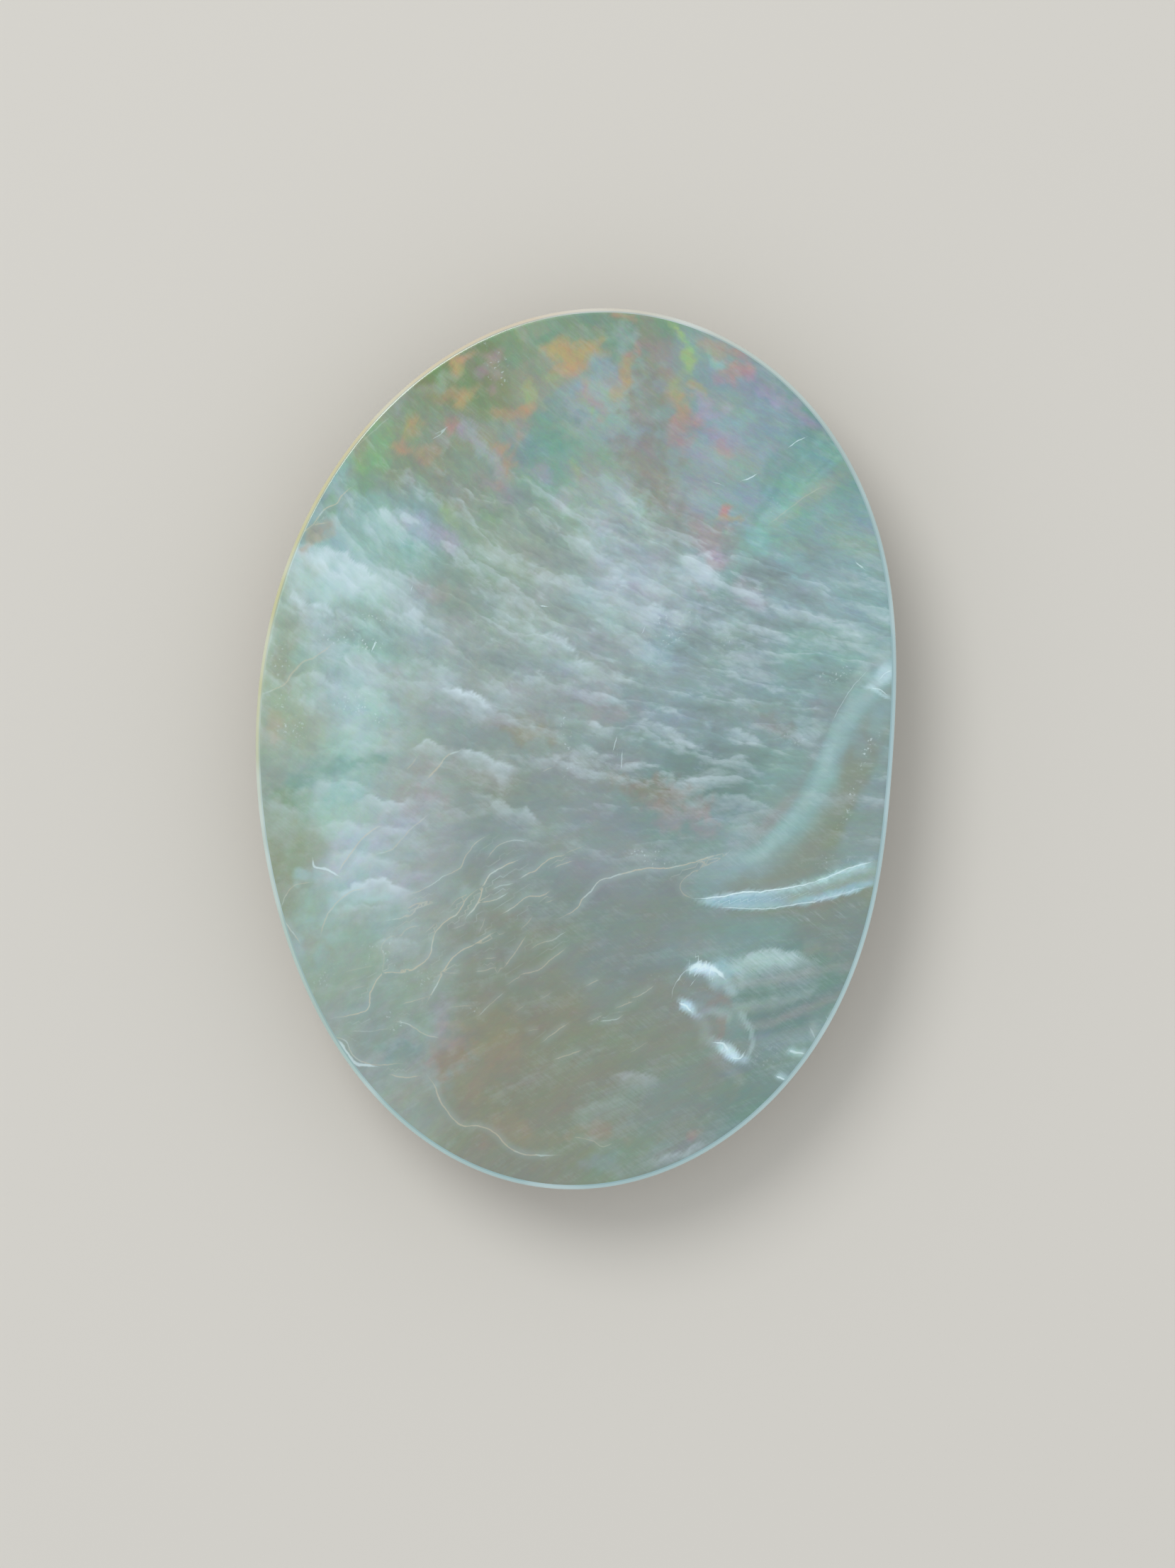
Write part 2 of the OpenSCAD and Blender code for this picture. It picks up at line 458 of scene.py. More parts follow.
# Patches of colour: x, y, half length, half width, angle of the length, tone, strength.
PATCHES = table("""
    -0.5 24.6 1.5 0.8 -10 gold 0.8; 0.9 25 0.8 0.9 40 gold 0.6; -0.2 23.6 0.9 0.5 0 orange 0.5; -1.6 23
    0.7 0.3 -20 lime 0.5; -2.7 22.4 0.4 0.5 60 lime 0.6; -4 25 1.6 1 -40 dark_green 0.7; -9 21.4 1.7 0.8
    -10 green 0.4; -12.5 18.6 1.5 0.9 50 green 0.7; -13 17.2 1.4 0.8 45 green 0.7; -7.4 24.4 0.7 0.5 40
    orange 0.7; -7.5 23.7 0.4 0.6 0 gold 0.7; -10.1 20.2 0.45 0.8 0 gold 0.8; -10.6 18.7 0.7 0.5 -30
    orange 0.7; -9.3 18.2 0.5 0.6 30 orange 0.55; -8.1 20.1 0.5 0.4 0 coral 0.6; -4.6 21 0.7 0.5 -20
    orange 0.4; -3.1 21.2 0.7 0.4 50 orange 0.6; -5 18.5 0.4 0.5 0 orange 0.6; -4.3 17.4 1.1 0.5 60 orange
    0.55; -6.9 21.8 0.6 0.4 30 gold 0.6; -7.3 22.2 1.4 0.3 5 orange 0.35; -3.6 19.6 0.9 0.5 70 orange 0.4;
    -5.2 24.6 0.7 0.6 0 rose 0.5; -5.3 23.6 0.9 0.6 -60 blush 0.5; -2 19.6 1.6 1.2 0 deep_teal 0.6; -1.3
    21.2 0.9 0.7 -60 deep_teal 0.5; 1.6 23.6 0.7 0.8 0 blue 0.6; -0.3 22.4 0.6 0.5 0 blue 0.4; -5.2 14.3
    0.7 0.6 0 green 0.5; -8 14.6 0.4 0.5 40 lime 0.5; 2.2 18.2 0.7 0.5 0 green 0.5; 0 17.4 0.6 0.4 -40
    lime 0.4; 3.1 23.6 0.35 1 0 gold 0.6; 2.8 22.4 0.5 0.6 0 gold 0.4; 3.8 24.9 0.5 0.4 0 coral 0.7; 2.9
    26.8 0.9 0.3 -20 orange 0.5; 1 21.9 1.3 0.3 -55 coral 0.4; 0.6 21.3 0.9 0.25 -60 lime 0.5; 3.9 20.9
    0.6 0.3 -60 coral 0.35; 10.1 23.5 0.9 0.6 0 coral 0.6; 9.9 24.5 0.5 0.4 0 coral 0.4; 8.9 23.2 0.5 0.4
    0 rose 0.4; 8.6 25 1.2 0.5 -30 orange 0.35; 8.8 24.2 0.5 0.25 -40 aqua 0.6; 6.4 21.3 1 0.7 -50 orange
    0.65; 7.1 20.4 1.1 0.8 -60 coral 0.4; 6.4 19.8 0.6 1 0 coral 0.35; 8.3 21 1 0.6 -20 lilac 0.6; 8.8
    19.2 1.2 0.7 0 lilac 0.4; 9.6 18.7 0.8 0.3 -10 coral 0.3; 9.4 15 0.4 0.45 0 coral 0.9; 9.6 14.3 1 0.25
    -15 gold 0.5; 8.4 13.1 1.6 0.9 -30 blush 0.6; 9.1 11.6 0.7 0.5 -50 rose 0.55; 7.6 10.2 0.9 0.3 -50
    rose 0.3; 8 10.8 1 0.5 -50 lavender 0.6; 6.5 26 0.9 0.2 -60 lime 0.8; 7.1 24.4 0.7 0.35 85 lime 0.8;
    6.4 23.1 0.8 0.5 70 lime 0.5; 7.4 22.6 0.8 0.3 -20 gold 0.5; 4.7 25.4 2.2 1 -80 bark 0.75; 5.3 24.4
    1.2 0.7 -80 blush 0.3; 4.4 21.6 2.2 0.9 -88 bark 0.65; 4.5 17.8 2.6 1.3 -75 bark 0.75; 5.8 14.6 1.8 1
    -60 bark 0.5; -7.8 17.4 3 0.9 -55 bark 0.5; 14.4 18.4 1.9 0.8 35 teal 0.9; 12.6 16.9 1.5 0.9 50 teal
    0.7; 12.8 15.8 3.4 0.6 50 aqua 0.6; 15 17.9 0.8 0.4 30 deep_teal 0.6; 11.2 13 1.4 0.8 10 aqua 0.7;
    13.2 14.6 1.6 0.25 40 straw 0.5; 15.4 16.2 2.2 0.5 25 straw 0.3; 13.8 20.9 2.2 0.4 -35 lilac 0.4; 12.2
    22.2 1.6 0.4 -30 lilac 0.35; 10.4 20.6 1.3 0.5 20 aqua 0.5; 13.8 11.6 1.4 0.9 0 aqua 0.4; 10.8 9.8 1.2
    0.8 -40 lilac 0.4; 9.4 10.4 0.9 0.5 40 deep_teal 0.5; -16 16.4 1 0.6 50 teal 0.8; -15 17.6 1 0.7 50
    aqua 0.5; -15.4 14.9 1.2 0.4 45 green 0.6; -16.1 13.4 0.9 0.5 40 orange 0.45; -17.1 12.1 0.5 0.35 40
    orange 0.5; -10.8 21.4 0.9 0.5 20 lilac 0.35; -8.9 22.7 1.6 0.35 15 straw 0.5; -5 16.4 1.6 0.3 -30
    blush 0.4; -8.5 16.4 1.6 0.5 -50 brown 0.35; -6.4 19.4 1.6 0.5 -50 lavender 0.4; -4.8 17.3 1.4 0.4 -45
    mist 0.5; -2.3 17.2 0.7 0.6 0 lilac 0.5; -0.9 15.6 0.7 0.5 0 lilac 0.4; -9.5 13.6 1.8 0.7 -35 lavender
    0.7; -7.9 12.7 0.8 0.5 -30 lilac 0.5; -8.6 9.8 1.4 0.6 -20 blush 0.4; -12 4.8 1.6 0.7 -10 lilac 0.3;
    -15 -1 1.9 0.5 5 teal 0.6; -12.8 -1 1 0.5 30 deep_teal 0.3; -17.2 -2.2 1.2 0.5 10 teal 0.6; -14.6 -2.8
    1.1 0.6 20 aqua 0.7; -18.4 -3.4 1 0.8 0 dark_green 0.5; -13 2.4 2.4 0.6 -15 ice 0.4; -12.2 -5.2 2.6
    0.8 15 lavender 0.6; -14.6 -7.4 1.8 0.9 30 pearl 0.4; -11.6 -8.2 2 0.7 10 lavender 0.4; -9.2 -1.6 1.6
    0.9 30 blush 0.25; -9.8 -3.2 1.4 0.8 0 blush 0.35; 5 -2.5 2.4 0.5 -5 brown 0.5; 6.4 -4.4 2.2 0.7 -20
    blush 0.45; 7.9 -4.1 0.5 0.4 0 coral 0.3; 3 -3.3 1 0.35 0 teal 0.35; 1.8 2.4 1.7 0.9 -10 blush 0.3;
    -3.4 1.3 2.2 0.9 -10 bark 0.5; -0.8 3.4 1.6 0.6 -15 dusk 0.4; 12.4 1.4 1.6 0.5 -30 brown 0.3; 15.2 2.6
    0.8 0.7 50 blush 0.2; 13.4 -3.4 0.9 0.4 20 blush 0.3; 11.9 -4.8 1 0.5 40 blush 0.3; -8.2 -18.9 1.6 1.1
    20 orange 0.25; -10.4 -18.7 1.6 0.7 0 teal 0.5; -9.4 -17.1 0.8 0.5 0 green 0.25; -8.4 -16.6 1 0.8 60
    lilac 0.35; -6.2 -20.4 2.2 1.2 40 tan 0.5; -5.2 -17.6 1.6 2 0 tan 0.35; -3.6 -24 2.2 0.9 -20 tan 0.5;
    1.2 -23.9 1.4 0.6 -10 coral 0.2; 7.4 -24.2 0.6 0.4 0 coral 0.3; 8.8 -21 1.6 0.8 10 tan 0.2; -13.4
    -10.4 1.8 0.9 40 sage 0.5; -16.2 -9.6 1.4 0.9 60 sage 0.5; -14.4 -12.8 1.6 0.8 0 straw 0.3; 18.6 -5
    0.6 1.4 10 blush 0.35; 3.2 -0.4 1.5 0.5 0 dusk 0.3; -2 25.7 1.1 0.5 10 dark_green 0.8; 3.1 25.6 0.6
    0.5 0 mist 0.5; -10 21.4 0.9 0.6 20 olive 0.7; -7 21 0.9 0.5 -20 olive 0.5; -6.6 23.9 0.6 0.5 0 olive
    0.6; -0.5 21.1 0.8 0.5 -40 rock 0.6; -16.6 11.6 1 0.5 -30 straw 0.5; -12 7.3 1 0.5 -20 ice 0.7; -16.9
    -8 0.9 0.5 10 glacier 0.7; -18.3 -4 0.7 0.9 0 moss 0.6; -16.7 -12 1.2 0.8 -60 moss 0.45; -12.4 -9.2 1
    0.5 0 snow 0.45; 6.5 8.2 1.1 0.6 -30 pale 0.9; 10.2 7.8 1.2 0.5 -20 pale 0.6; 13.2 9.2 1.2 0.6 -40
    dove 0.6; 9.2 12.1 0.6 0.4 -30 lavender 0.5; -4.7 5.4 1.3 0.5 -25 mist 0.8; -1 5.4 0.9 0.5 -30 sky
    0.6; -0.4 1.8 0.9 0.5 -10 sky 0.7; -5 -0.5 0.9 0.5 -10 haze 0.7; 10 5 1.1 0.6 -20 slate 0.6; 8.4 1.8 1
    0.4 -10 steel 0.7; 15.2 4.8 0.8 0.5 50 steel 0.6; 14.4 1.2 0.8 0.6 60 slate 0.6; -3.2 0.8 1.2 0.6 -10
    tan 0.45; 0.4 3.6 1.6 0.7 -20 lilac 0.2; 5.6 -3 2.4 0.9 -5 clay 0.5; -5.6 -2.2 1.4 0.6 -15 clay 0.4;
    4.9 6.3 1 0.6 0 blue 0.3; 4.2 -6.7 1.4 0.6 -10 dusk 0.6; 15.1 -12.4 1 0.5 10 ash 0.7; 7.4 -12.4 1.2
    0.6 0 ash 0.6; 18.1 -5.9 0.6 0.8 0 ash 0.5; -7.8 -19.4 1.1 0.7 30 brown 0.6; -10.4 -19.1 0.9 0.6 0
    pewter 0.5; -18.2 5.8 0.6 1.8 0 tan 0.3; -18.7 1.4 0.5 1.2 0 orange 0.22; 1.6 -25.8 1.4 0.5 0 dusk
    0.7; 5.4 -24.9 1 0.5 10 slate 0.4
""")

# Pale folds in the layers, each with a painted highlight along its upper edge: the edge, how far the
# painted light fades below it, and its strength.
FOLDS = curves("""
    -17 12.8, -15 12.4, -13.4 11.4, -12 10.4: 1.7 0.62; -13.8 14.6, -12 14.9, -10 14.4, -8.6 12.9: 1.5
    0.26; -17.9 9.6, -17 9.2, -15.6 8.9, -15.1 8.3: 0.8 0.5; -8.2 3.8, -7.2 3.7, -6.2 3.3, -5.2 2.8: 0.5
    0.95; -5.5 4.2, -5 4.7, -4.3 4.4, -3.4 5, -2.2 4.8, -1.4 4.2: 0.7 0.3; -2.4 7.2, -1.3 7.1, -0.4 6.4,
    0.4 5.6, 1.4 5: 0.6 0.6; -4.6 9.5, -3.2 9, -2 7.8: 0.9 0.12; -6.6 7.9, -5.6 7, -4.4 6.8: 0.6 0.2; -3.4
    11.2, -1.6 10.6, -0.6 10.2: 0.9 0.2; -0.4 14.9, 0.9 15, 2.2 14.6: 0.7 0.3; -0.2 13.8, 1.2 13.9, 2.6
    13.2, 4.6 12.9: 0.9 0.32; 0.2 12.8, 1.6 12.6, 2.4 11.6: 0.7 0.25; 2.2 11.3, 3.2 11.7, 4.4 11.5, 5.2
    11.2: 0.7 0.3; 1.6 10.9, 2.6 10.6, 3.4 10.5: 0.8 0.5; 3.6 10.5, 4.6 10.3, 5.4 9.7: 0.6 0.3; 6.2 10.8,
    6.9 10.9, 7.3 10.3: 0.5 0.35; 6.6 12.2, 8 12.2, 9.2 11.6: 1 0.5; 4.2 8.8, 5.2 9, 6.2 8.5, 7 8.3: 0.8
    0.55; 8.4 9.2, 9.6 8.9, 10.2 8.3: 0.6 0.2; 10 10.2, 11.2 10.1, 12.4 9.6: 0.6 0.2; 11.4 9, 12.4 8.8,
    13.6 8.6: 0.5 0.35; 8.6 7.4, 9.6 7.2, 10.4 6.6: 0.5 0.35; 10.8 7.8, 12.2 7.4, 13.4 6.9: 0.4 0.3; 13.8
    8.9, 15 8.6, 16.2 8: 0.4 0.25; 16.2 7.6, 17.4 7.2, 18.4 6.9: 0.4 0.25; 2.4 4.9, 3.2 4.4, 4.2 4.4: 0.4
    0.4; 4.6 2.4, 6 2.5, 8.6 2.2: 0.3 0.45; 3.8 1.7, 5.2 1.6, 6.6 0.9: 0.6 0.4; 9.2 1.2, 10.4 1, 11.6 0.4:
    0.5 0.55; -0.6 3.9, 0.6 3.4, 1.8 3.5: 0.5 0.2; -0.2 1.9, 1 1.6, 2 1.2: 0.5 0.3; 0 0.2, 0.6 0.2, 1.4
    -0.2: 0.5 0.3; 7.2 0.3, 8.4 -0.1, 10.2 -0.5: 0.3 0.3; 13.4 3.3, 14.4 2.7, 15.4 2.4: 0.4 0.3; 2 -1.2,
    3.6 -0.9, 5.8 -1.4: 0.4 0.25; 7.8 -3.2, 8.8 -2.8, 10.6 -3, 12.4 -3.6: 0.9 0.32; 9.6 -4.8, 11 -4.8, 12
    -5.2: 0.6 0.25; -15.6 0.2, -13.4 0.4, -11.4 0.2: 0.5 0.25; -10.2 0.1, -9.2 0.4, -8 0: 0.6 0.55; -7.8
    0, -6.6 -0.2, -5.2 -0.7, -3.8 -1.2: 0.8 0.6; -9.4 -0.9, -8 -0.8, -6.4 -1.4: 0.4 0.25; -13.6 -3.2,
    -12.6 -3, -11.8 -3.4, -10.2 -3.2: 0.7 0.5; -10.6 -3.9, -9.8 -4.2, -9 -4.9: 0.4 0.25; -16.2 -4.8, -14.6
    -4.5, -13 -4.8, -10.2 -5: 1.2 0.36; -15.4 -6.6, -13.4 -6.4, -10.8 -7.2: 0.7 0.35; -6 -3, -5 -2.9, -4.2
    -3.6, -3.2 -3.8, -1.9 -4.8: 1 0.42; -7.8 -3.7, -6.6 -3.9, -5.4 -3.9: 0.5 0.25; -14.8 -9, -13.4 -8.4,
    -12.2 -8.1, -10.4 -8.8: 0.7 0.75; -15.2 -9.9, -13.8 -9.7, -11.6 -9.8: 0.5 0.35; -12.6 -12.4, -11.4
    -11.8, -9.8 -12.1: 0.8 0.26; -17.6 4.6, -16.4 4.7, -14.8 4: 0.9 0.4; -14.6 3.6, -13 3.7, -12 3.4,
    -11.2 2.4: 1 0.2; -15.6 6.4, -13.8 6.6, -12.4 5.8: 0.8 0.15; -13.4 7.9, -12.2 8.1, -10.6 7.7: 0.8 0.2;
    -16.2 -2.2, -14.6 -2, -12.8 -2.6: 0.8 0.35; -19.2 -3.2, -18 -3.4, -16.8 -4: 0.8 0.15; -11 5.9, -9.4
    5.5, -7.6 4.6: 0.6 0.3; -9.8 3.4, -8.4 2.8, -6.8 2.2: 0.6 0.2; -4.6 1.9, -3.2 1.6, -2 0.9: 0.5 0.2;
    2.4 -20.1, 3.6 -20.2, 5 -20.4: 0.5 0.28; 4.6 -25.7, 6.4 -25.2, 8 -24.6: 0.3 0.35; 10 -13.2, 11.6
    -12.6, 13 -12.5, 14.6 -13: 1.1 0.45; 0.4 -22.4, 2.2 -21.8, 4 -22.2: 1.2 0.12
""")

# Growth lines that show as thin cream threads: the line, its half width and its strength.
THREADS = curves("""
    -15.3 -16.8, -13.6 -16.5, -12.9 -16.1, -12.8 -15.2, -12 -14, -10.6 -13.9, -9.2 -13, -8.8 -11.6, -8.2
    -10.8, -7.3 -10.2, -6.8 -9.3, -5.9 -8.6: 0.06 0.75; -9.3 -15.8, -8.6 -14.6, -8 -13.4, -7 -12.5, -6
    -12, -5 -11.4: 0.06 0.75; -6.9 -10.6, -6.1 -9.6, -5.8 -8.6, -5.3 -7.8, -4.4 -7.3, -3.6 -6.9: 0.065
    0.85; -4.6 -10.3, -3.8 -9.8, -3 -9.2, -2.2 -9.2, -1.6 -8.8: 0.05 0.7; -4.5 -13.6, -4 -13, -3.6 -12.4,
    -3.1 -11.7: 0.05 0.5; -3.4 -11.2, -3 -10.8, -2.7 -10.4: 0.04 0.4; -2.8 -12.5, -2.2 -12.1, -1.4 -11.9,
    -0.6 -11.4: 0.045 0.4; -3.6 -14.1, -2.4 -13.8, -1.6 -13.2, -1.1 -12.8, -0.6 -12.4: 0.045 0.5; -5.9
    -9.6, -5 -9.4, -4.3 -9: 0.05 0.7; -6.6 -12.2, -5.6 -12, -4.4 -11.4: 0.035 0.4; -11.6 -10.7, -10.4
    -10.4, -9.8 -9.9, -8.8 -9.6: 0.045 0.5; -10.5 -9.1, -9.2 -8.6, -8.2 -7.9, -7.3 -7.5, -6.8 -6.6, -6.3
    -5.9, -5.5 -5.4: 0.045 0.6; -15.9 -11.6, -15.6 -10.6, -15 -9.7, -14.2 -9, -13 -8.6: 0.06 0.5; -18.4
    -9.9, -18 -9, -17.5 -8.5, -16.5 -8.3: 0.05 0.45; -18.3 -10.5, -17.2 -12.1: 0.05 0.6; -11.3 -17, -10.4
    -17.2, -9.4 -17.8, -8.5 -18: 0.05 0.6; -15.3 -17.9, -14.4 -18.2, -13.8 -19.2, -12.6 -19.7, -10.9
    -19.6: 0.06 0.5; -11.6 -20.3, -10.6 -20.5, -9.8 -20.4: 0.06 0.6; -14.2 -17.6, -12.6 -17.6, -11.6
    -17.4: 0.04 0.3; -9.3 -20.3, -8.8 -21, -8.5 -21.9, -7.6 -23.1, -6.9 -23.5, -6 -23.5, -5 -24, -4.2
    -24.8, -3 -25.3, -1 -25.3: 0.07 0.6; -6.1 -16.7, -5.2 -15.8, -4.5 -15.2: 0.045 0.35; -2.1 -18.3, -1.2
    -17.6, -0.5 -17.1: 0.05 0.5; -1.4 -19.4, -0.6 -19.1, 0.4 -18.8: 0.05 0.45; -10.8 -15.9, -10 -15.7,
    -9.3 -15.4: 0.04 0.5; -14.8 -7.7, -14.1 -6.6, -13.2 -5.5, -12.4 -4.9, -12 -4.8: 0.07 0.6; -12.6 -6.6,
    -11.4 -6.2, -10.4 -5.1, -9.2 -4.1: 0.055 0.45; -9.3 -1.9, -8.6 -1.2, -8 -0.4, -7.2 -0.1: 0.08 0.6;
    -10.5 -1.3, -9.9 -0.5: 0.06 0.35; -5.5 -6.8, -4.9 -6.1, -4 -5.7, -3 -5.8: 0.05 0.5; -3.6 -8.1, -2.4
    -7.5, -1.7 -6.9, -0.6 -6.6: 0.06 0.7; -1.3 -7.4, -0.8 -7.2, -0.2 -7: 0.05 0.6; -0.6 -6.5, 0.6 -6: 0.04
    0.3; 0.6 -14.8, 1.4 -14.4: 0.05 0.5; 2.5 -16.2, 3.1 -15.9, 3.7 -15.7: 0.05 0.5; 1.5 -17, 2.4 -16.9,
    2.9 -16.6: 0.05 0.5; 3.5 -15.5, 4.1 -15.3, 4.8 -14.8: 0.045 0.5; 0.8 -17, 1.6 -16.6: 0.04 0.4; 3.4
    -18.9, 4.4 -18.3: 0.05 0.25; -0.2 -24.2, 1 -24.4, 1.6 -24.8, 2.3 -24.6: 0.05 0.35; -2 -1.4, -1.5 -1.2:
    0.04 0.4; -8.6 -13.9, -7.4 -14: 0.035 0.3; -7.8 -9.8, -7.2 -9.3, -6.2 -8.8: 0.04 0.45; -14.4 -13.9,
    -12.6 -13.5: 0.035 0.25; -5.2 -8.8, -4.6 -8.5, -3.9 -8.4: 0.05 0.5; -11.8 -10.7, -11 -10.6, -10.3
    -10.2: 0.05 0.5; -10.5 -10, -10 -9.7, -9 -9.5: 0.06 0.5; -6 -11.4, -5.8 -11, -5.7 -10.5: 0.045 0.4;
    -6.2 -13.9, -5.6 -13.8, -5 -13.6: 0.045 0.45; -5.7 -13.1, -5 -13: 0.04 0.35; -4.9 -14, -4.5 -13.3:
    0.04 0.35; -4.3 -14.7, -3.7 -14.3, -3.2 -14.1: 0.04 0.4; -3.1 -17.6, -2.4 -17.5: 0.04 0.35; -12.1 -14,
    -11.95 -13.1, -12.1 -12.3, -11.6 -11.7, -11 -11.6: 0.045 0.3; -11.1 -11.8, -10.5 -11.2, -9.8 -11: 0.05
    0.4; -9.3 -11.4, -8.8 -10.9: 0.045 0.35; -11 -13.8, -10.4 -13.7, -9.7 -13.5: 0.06 0.5; -1.9 -9.6, -1.3
    -9.4: 0.045 0.4; -7.7 -16.1, -6.5 -16: 0.04 0.35; -14 -15, -13.2 -14.8: 0.045 0.35; -7.6 -11.2, -6.9
    -10.9: 0.04 0.35; -2.2 -15.6, -1.5 -15.2: 0.04 0.3; -3.8 -16.4, -3.2 -16: 0.04 0.3; 9.6 -6.4, 7.6 -7,
    6 -7.4, 4.2 -7.5, 3.2 -7.7, 2.2 -8, 1.5 -8.2, 0.9 -8.9, 0.4 -9.4, 0 -10, -1.1 -10.6: 0.065 0.75; 9.7
    -6.3, 8.9 -6.9, 8 -7.3, 7.1 -7.8, 6.6 -8.3, 6.5 -8.7, 6.8 -9.1, 7.4 -9.4: 0.04 0.45; 8.8 -6.6, 8.1 -7,
    7.6 -7.6: 0.05 0.4; -19.6 3.4, -18.2 4, -17.6 4.8, -17 5.4, -16.3 5.7, -15.2 6.5: 0.09 0.45; -17.2
    13.3, -16.4 13.9, -15.5 14.1: 0.06 0.5; -16.4 13.9, -15.7 14.9, -14.9 15.3, -14.6 15.8, -14 16.3: 0.06
    0.6; -14.2 18.4, -12.6 19.8, -11.6 20.7: 0.05 0.25; 12 14, 13.2 14.9, 14.4 15.8, 15.6 16.4: 0.05 0.35
""")

# Bright glints, in the same form.
GLINTS = curves("""
    7.4 -9.35, 9 -9.25, 10 -9, 11.5 -8.9, 13 -8.7, 14.3 -8.45, 15.2 -8.2: 0.06 0.8; 14.8 -8.3, 15.5 -8.1,
    16.5 -7.65, 17.5 -7.3, 18.4 -7.05: 0.07 0.6; 9 -9.9, 11 -9.97, 12.5 -9.9, 14 -9.65, 15.5 -9.4: 0.06
    0.5; 15 -9.45, 16.5 -9.1, 17.5 -8.75, 18.2 -8.6: 0.06 0.3; 18.3 3.75, 18.9 3.7, 19.4 3.4: 0.07 0.5;
    18.9 4.3, 19.3 4.7, 19.7 4.9: 0.06 0.4; 2.9 -0.2, 2.8 -1.2: 0.045 0.45; 2.55 0.7, 2.3 -0.1: 0.035
    0.45; 4.3 7.6, 4.1 7.2: 0.04 0.4; -8.9 19.3, -8 19.9: 0.04 0.35; -8.8 19.6, -8 20: 0.04 0.35; 13.3
    18.8, 13.7 19.1, 14.3 19.4: 0.05 0.6; 10.4 16.7, 10.9 16.9, 11.3 17.1: 0.07 0.6; 8.6 16.6, 9.1 16.4:
    0.035 0.35; -16.4 -6.9, -16.3 -7.4, -15.6 -7.5, -14.8 -7.9: 0.1 0.5; -14.9 -18.1, -14.2 -19, -13.7
    -19.6, -12.4 -19.8: 0.16 0.5; 6.5 -15.85, 6.9 -16.05, 7.2 -16.4: 0.09 0.7; 8.6 -18.3, 9.2 -18.4, 9.5
    -18.8: 0.1 0.6; 9.7 -19.25, 10.2 -19.3, 10.5 -18.9: 0.08 0.5; 7.9 -13.4, 7.5 -13.9, 7.3 -14.3: 0.025
    0.6; 8.3 -13.5, 8 -13.9: 0.02 0.5; 7 -13.8, 7.6 -13.5, 8.3 -13.6, 8.9 -13.95, 9.25 -14.3: 0.26 0.75;
    18.2 4.9, 17.3 3.9, 16.5 2.7, 16 1.7: 0.03 0.3; 7 -13.7, 6.4 -14.3, 6.1 -14.9, 5.95 -15.5: 0.03 0.3;
    7.5 -14.3, 7.1 -14.8: 0.035 0.5; 6.9 -13.9, 6.5 -14.2, 6.3 -14.6: 0.035 0.45; 7.8 -13.9, 7.4 -14.4:
    0.03 0.4; -2.2 8.9, -1.8 8.85: 0.05 0.6; 17.5 11.6, 17.9 11.2: 0.09 0.5; 13.3 -18.8, 14.2 -19: 0.14
    0.5; 12.5 -20.4, 13 -20.6: 0.1 0.6; -10.2 10.2, -10.3 9.8: 0.04 0.4; -12.7 6.1, -12.5 6.7: 0.07 0.6;
    14.6 -17.4, 14.9 -18: 0.08 0.2; 15.6 -16.7, 15.9 -17.2: 0.08 0.2
""")

# Clusters of tiny bright specks: x, y, half length, half width, angle, strength.
SPECKS = table("""
    -15 7 1.3 0.5 -10 1; -12.5 6.5 0.9 0.4 -10 1; -12.6 8 1 0.3 -20 0.8; -13.5 2.6 1.8 0.6 -15 0.9; -17.8
    1.2 0.9 0.8 0 0.8; -0.6 0.8 1.4 0.25 95 1; -0.5 -1.2 0.7 0.3 95 0.7; 1.4 -0.8 0.9 0.4 -60 0.7; 5.8 7.4
    1.4 0.8 20 1; 4.8 -6.7 1.3 0.5 -20 1; 16.3 4.4 0.7 0.4 30 1; 15.3 4.7 0.4 0.3 0 0.7; 17.5 5 0.5 0.3 30
    1; -18.4 5.6 0.6 0.9 0 0.7; -18.3 3 0.4 0.8 0 0.6; -11.4 -17 0.7 0.5 -20 0.8; -5 23.6 0.6 0.7 0 0.9;
    -5.2 25.2 0.7 0.4 -40 0.6; 17.3 -2.6 2.6 0.25 72 0.9; 18.3 0.2 0.8 0.25 60 0.9; 9.4 6.6 0.7 0.3 0 0.6;
    15.4 -7 1.2 0.4 10 0.6; 11.6 -5.4 0.8 0.3 20 0.4; 12.4 15.2 0.6 0.5 50 0.4; -9.6 -14.6 1 0.6 0 0.5;
    -12 -12.8 1 0.7 0 0.8; -15.6 -14.2 1 0.6 60 0.4; 13.6 0.6 0.9 0.3 -10 0.5; -6.2 -16.4 0.9 0.3 -30 0.6;
    5.2 -14.4 0.5 0.3 -30 0.6; 12 -19.4 0.9 0.7 0 0.4; 4.4 5.2 1 0.4 -20 0.4; -9.6 11.2 0.7 0.4 0 0.4;
    -11.2 12.8 0.6 0.3 0 0.3
""")

# Stretches where the fibres of the shell show, in the same form.
FEATHERS = table("""
    12 -13.2 2.6 0.9 5 2.2; 13.4 -15.6 3.4 1.6 15 0.5; 16.2 -9.9 2.4 0.6 12 2.2; 14.6 -8.4 1.9 0.35 18 3;
    15 -1 3.6 1.2 65 0.6; 11.5 -5.6 2.6 0.9 35 0.6; 12 -19.4 1.6 1.4 0 0.8; 2 -2 3 1.4 -20 0.4
""")

# A folded ridge that hooks in from the right, followed from the rim to its tip along its outer side.
HOOK = table("""
    20.4 6.2; 19.4 5.4; 18.3 4.7; 17.6 4; 17 3.1; 16.4 2.2; 15.8 1; 15.2 -0.3; 14.6 -1.6; 13.8 -3; 12.9
    -4.2; 12 -5.1; 11.2 -6; 10 -6.4; 8.9 -6.7; 7.9 -7.3; 7 -7.9; 6.5 -8.7
""")
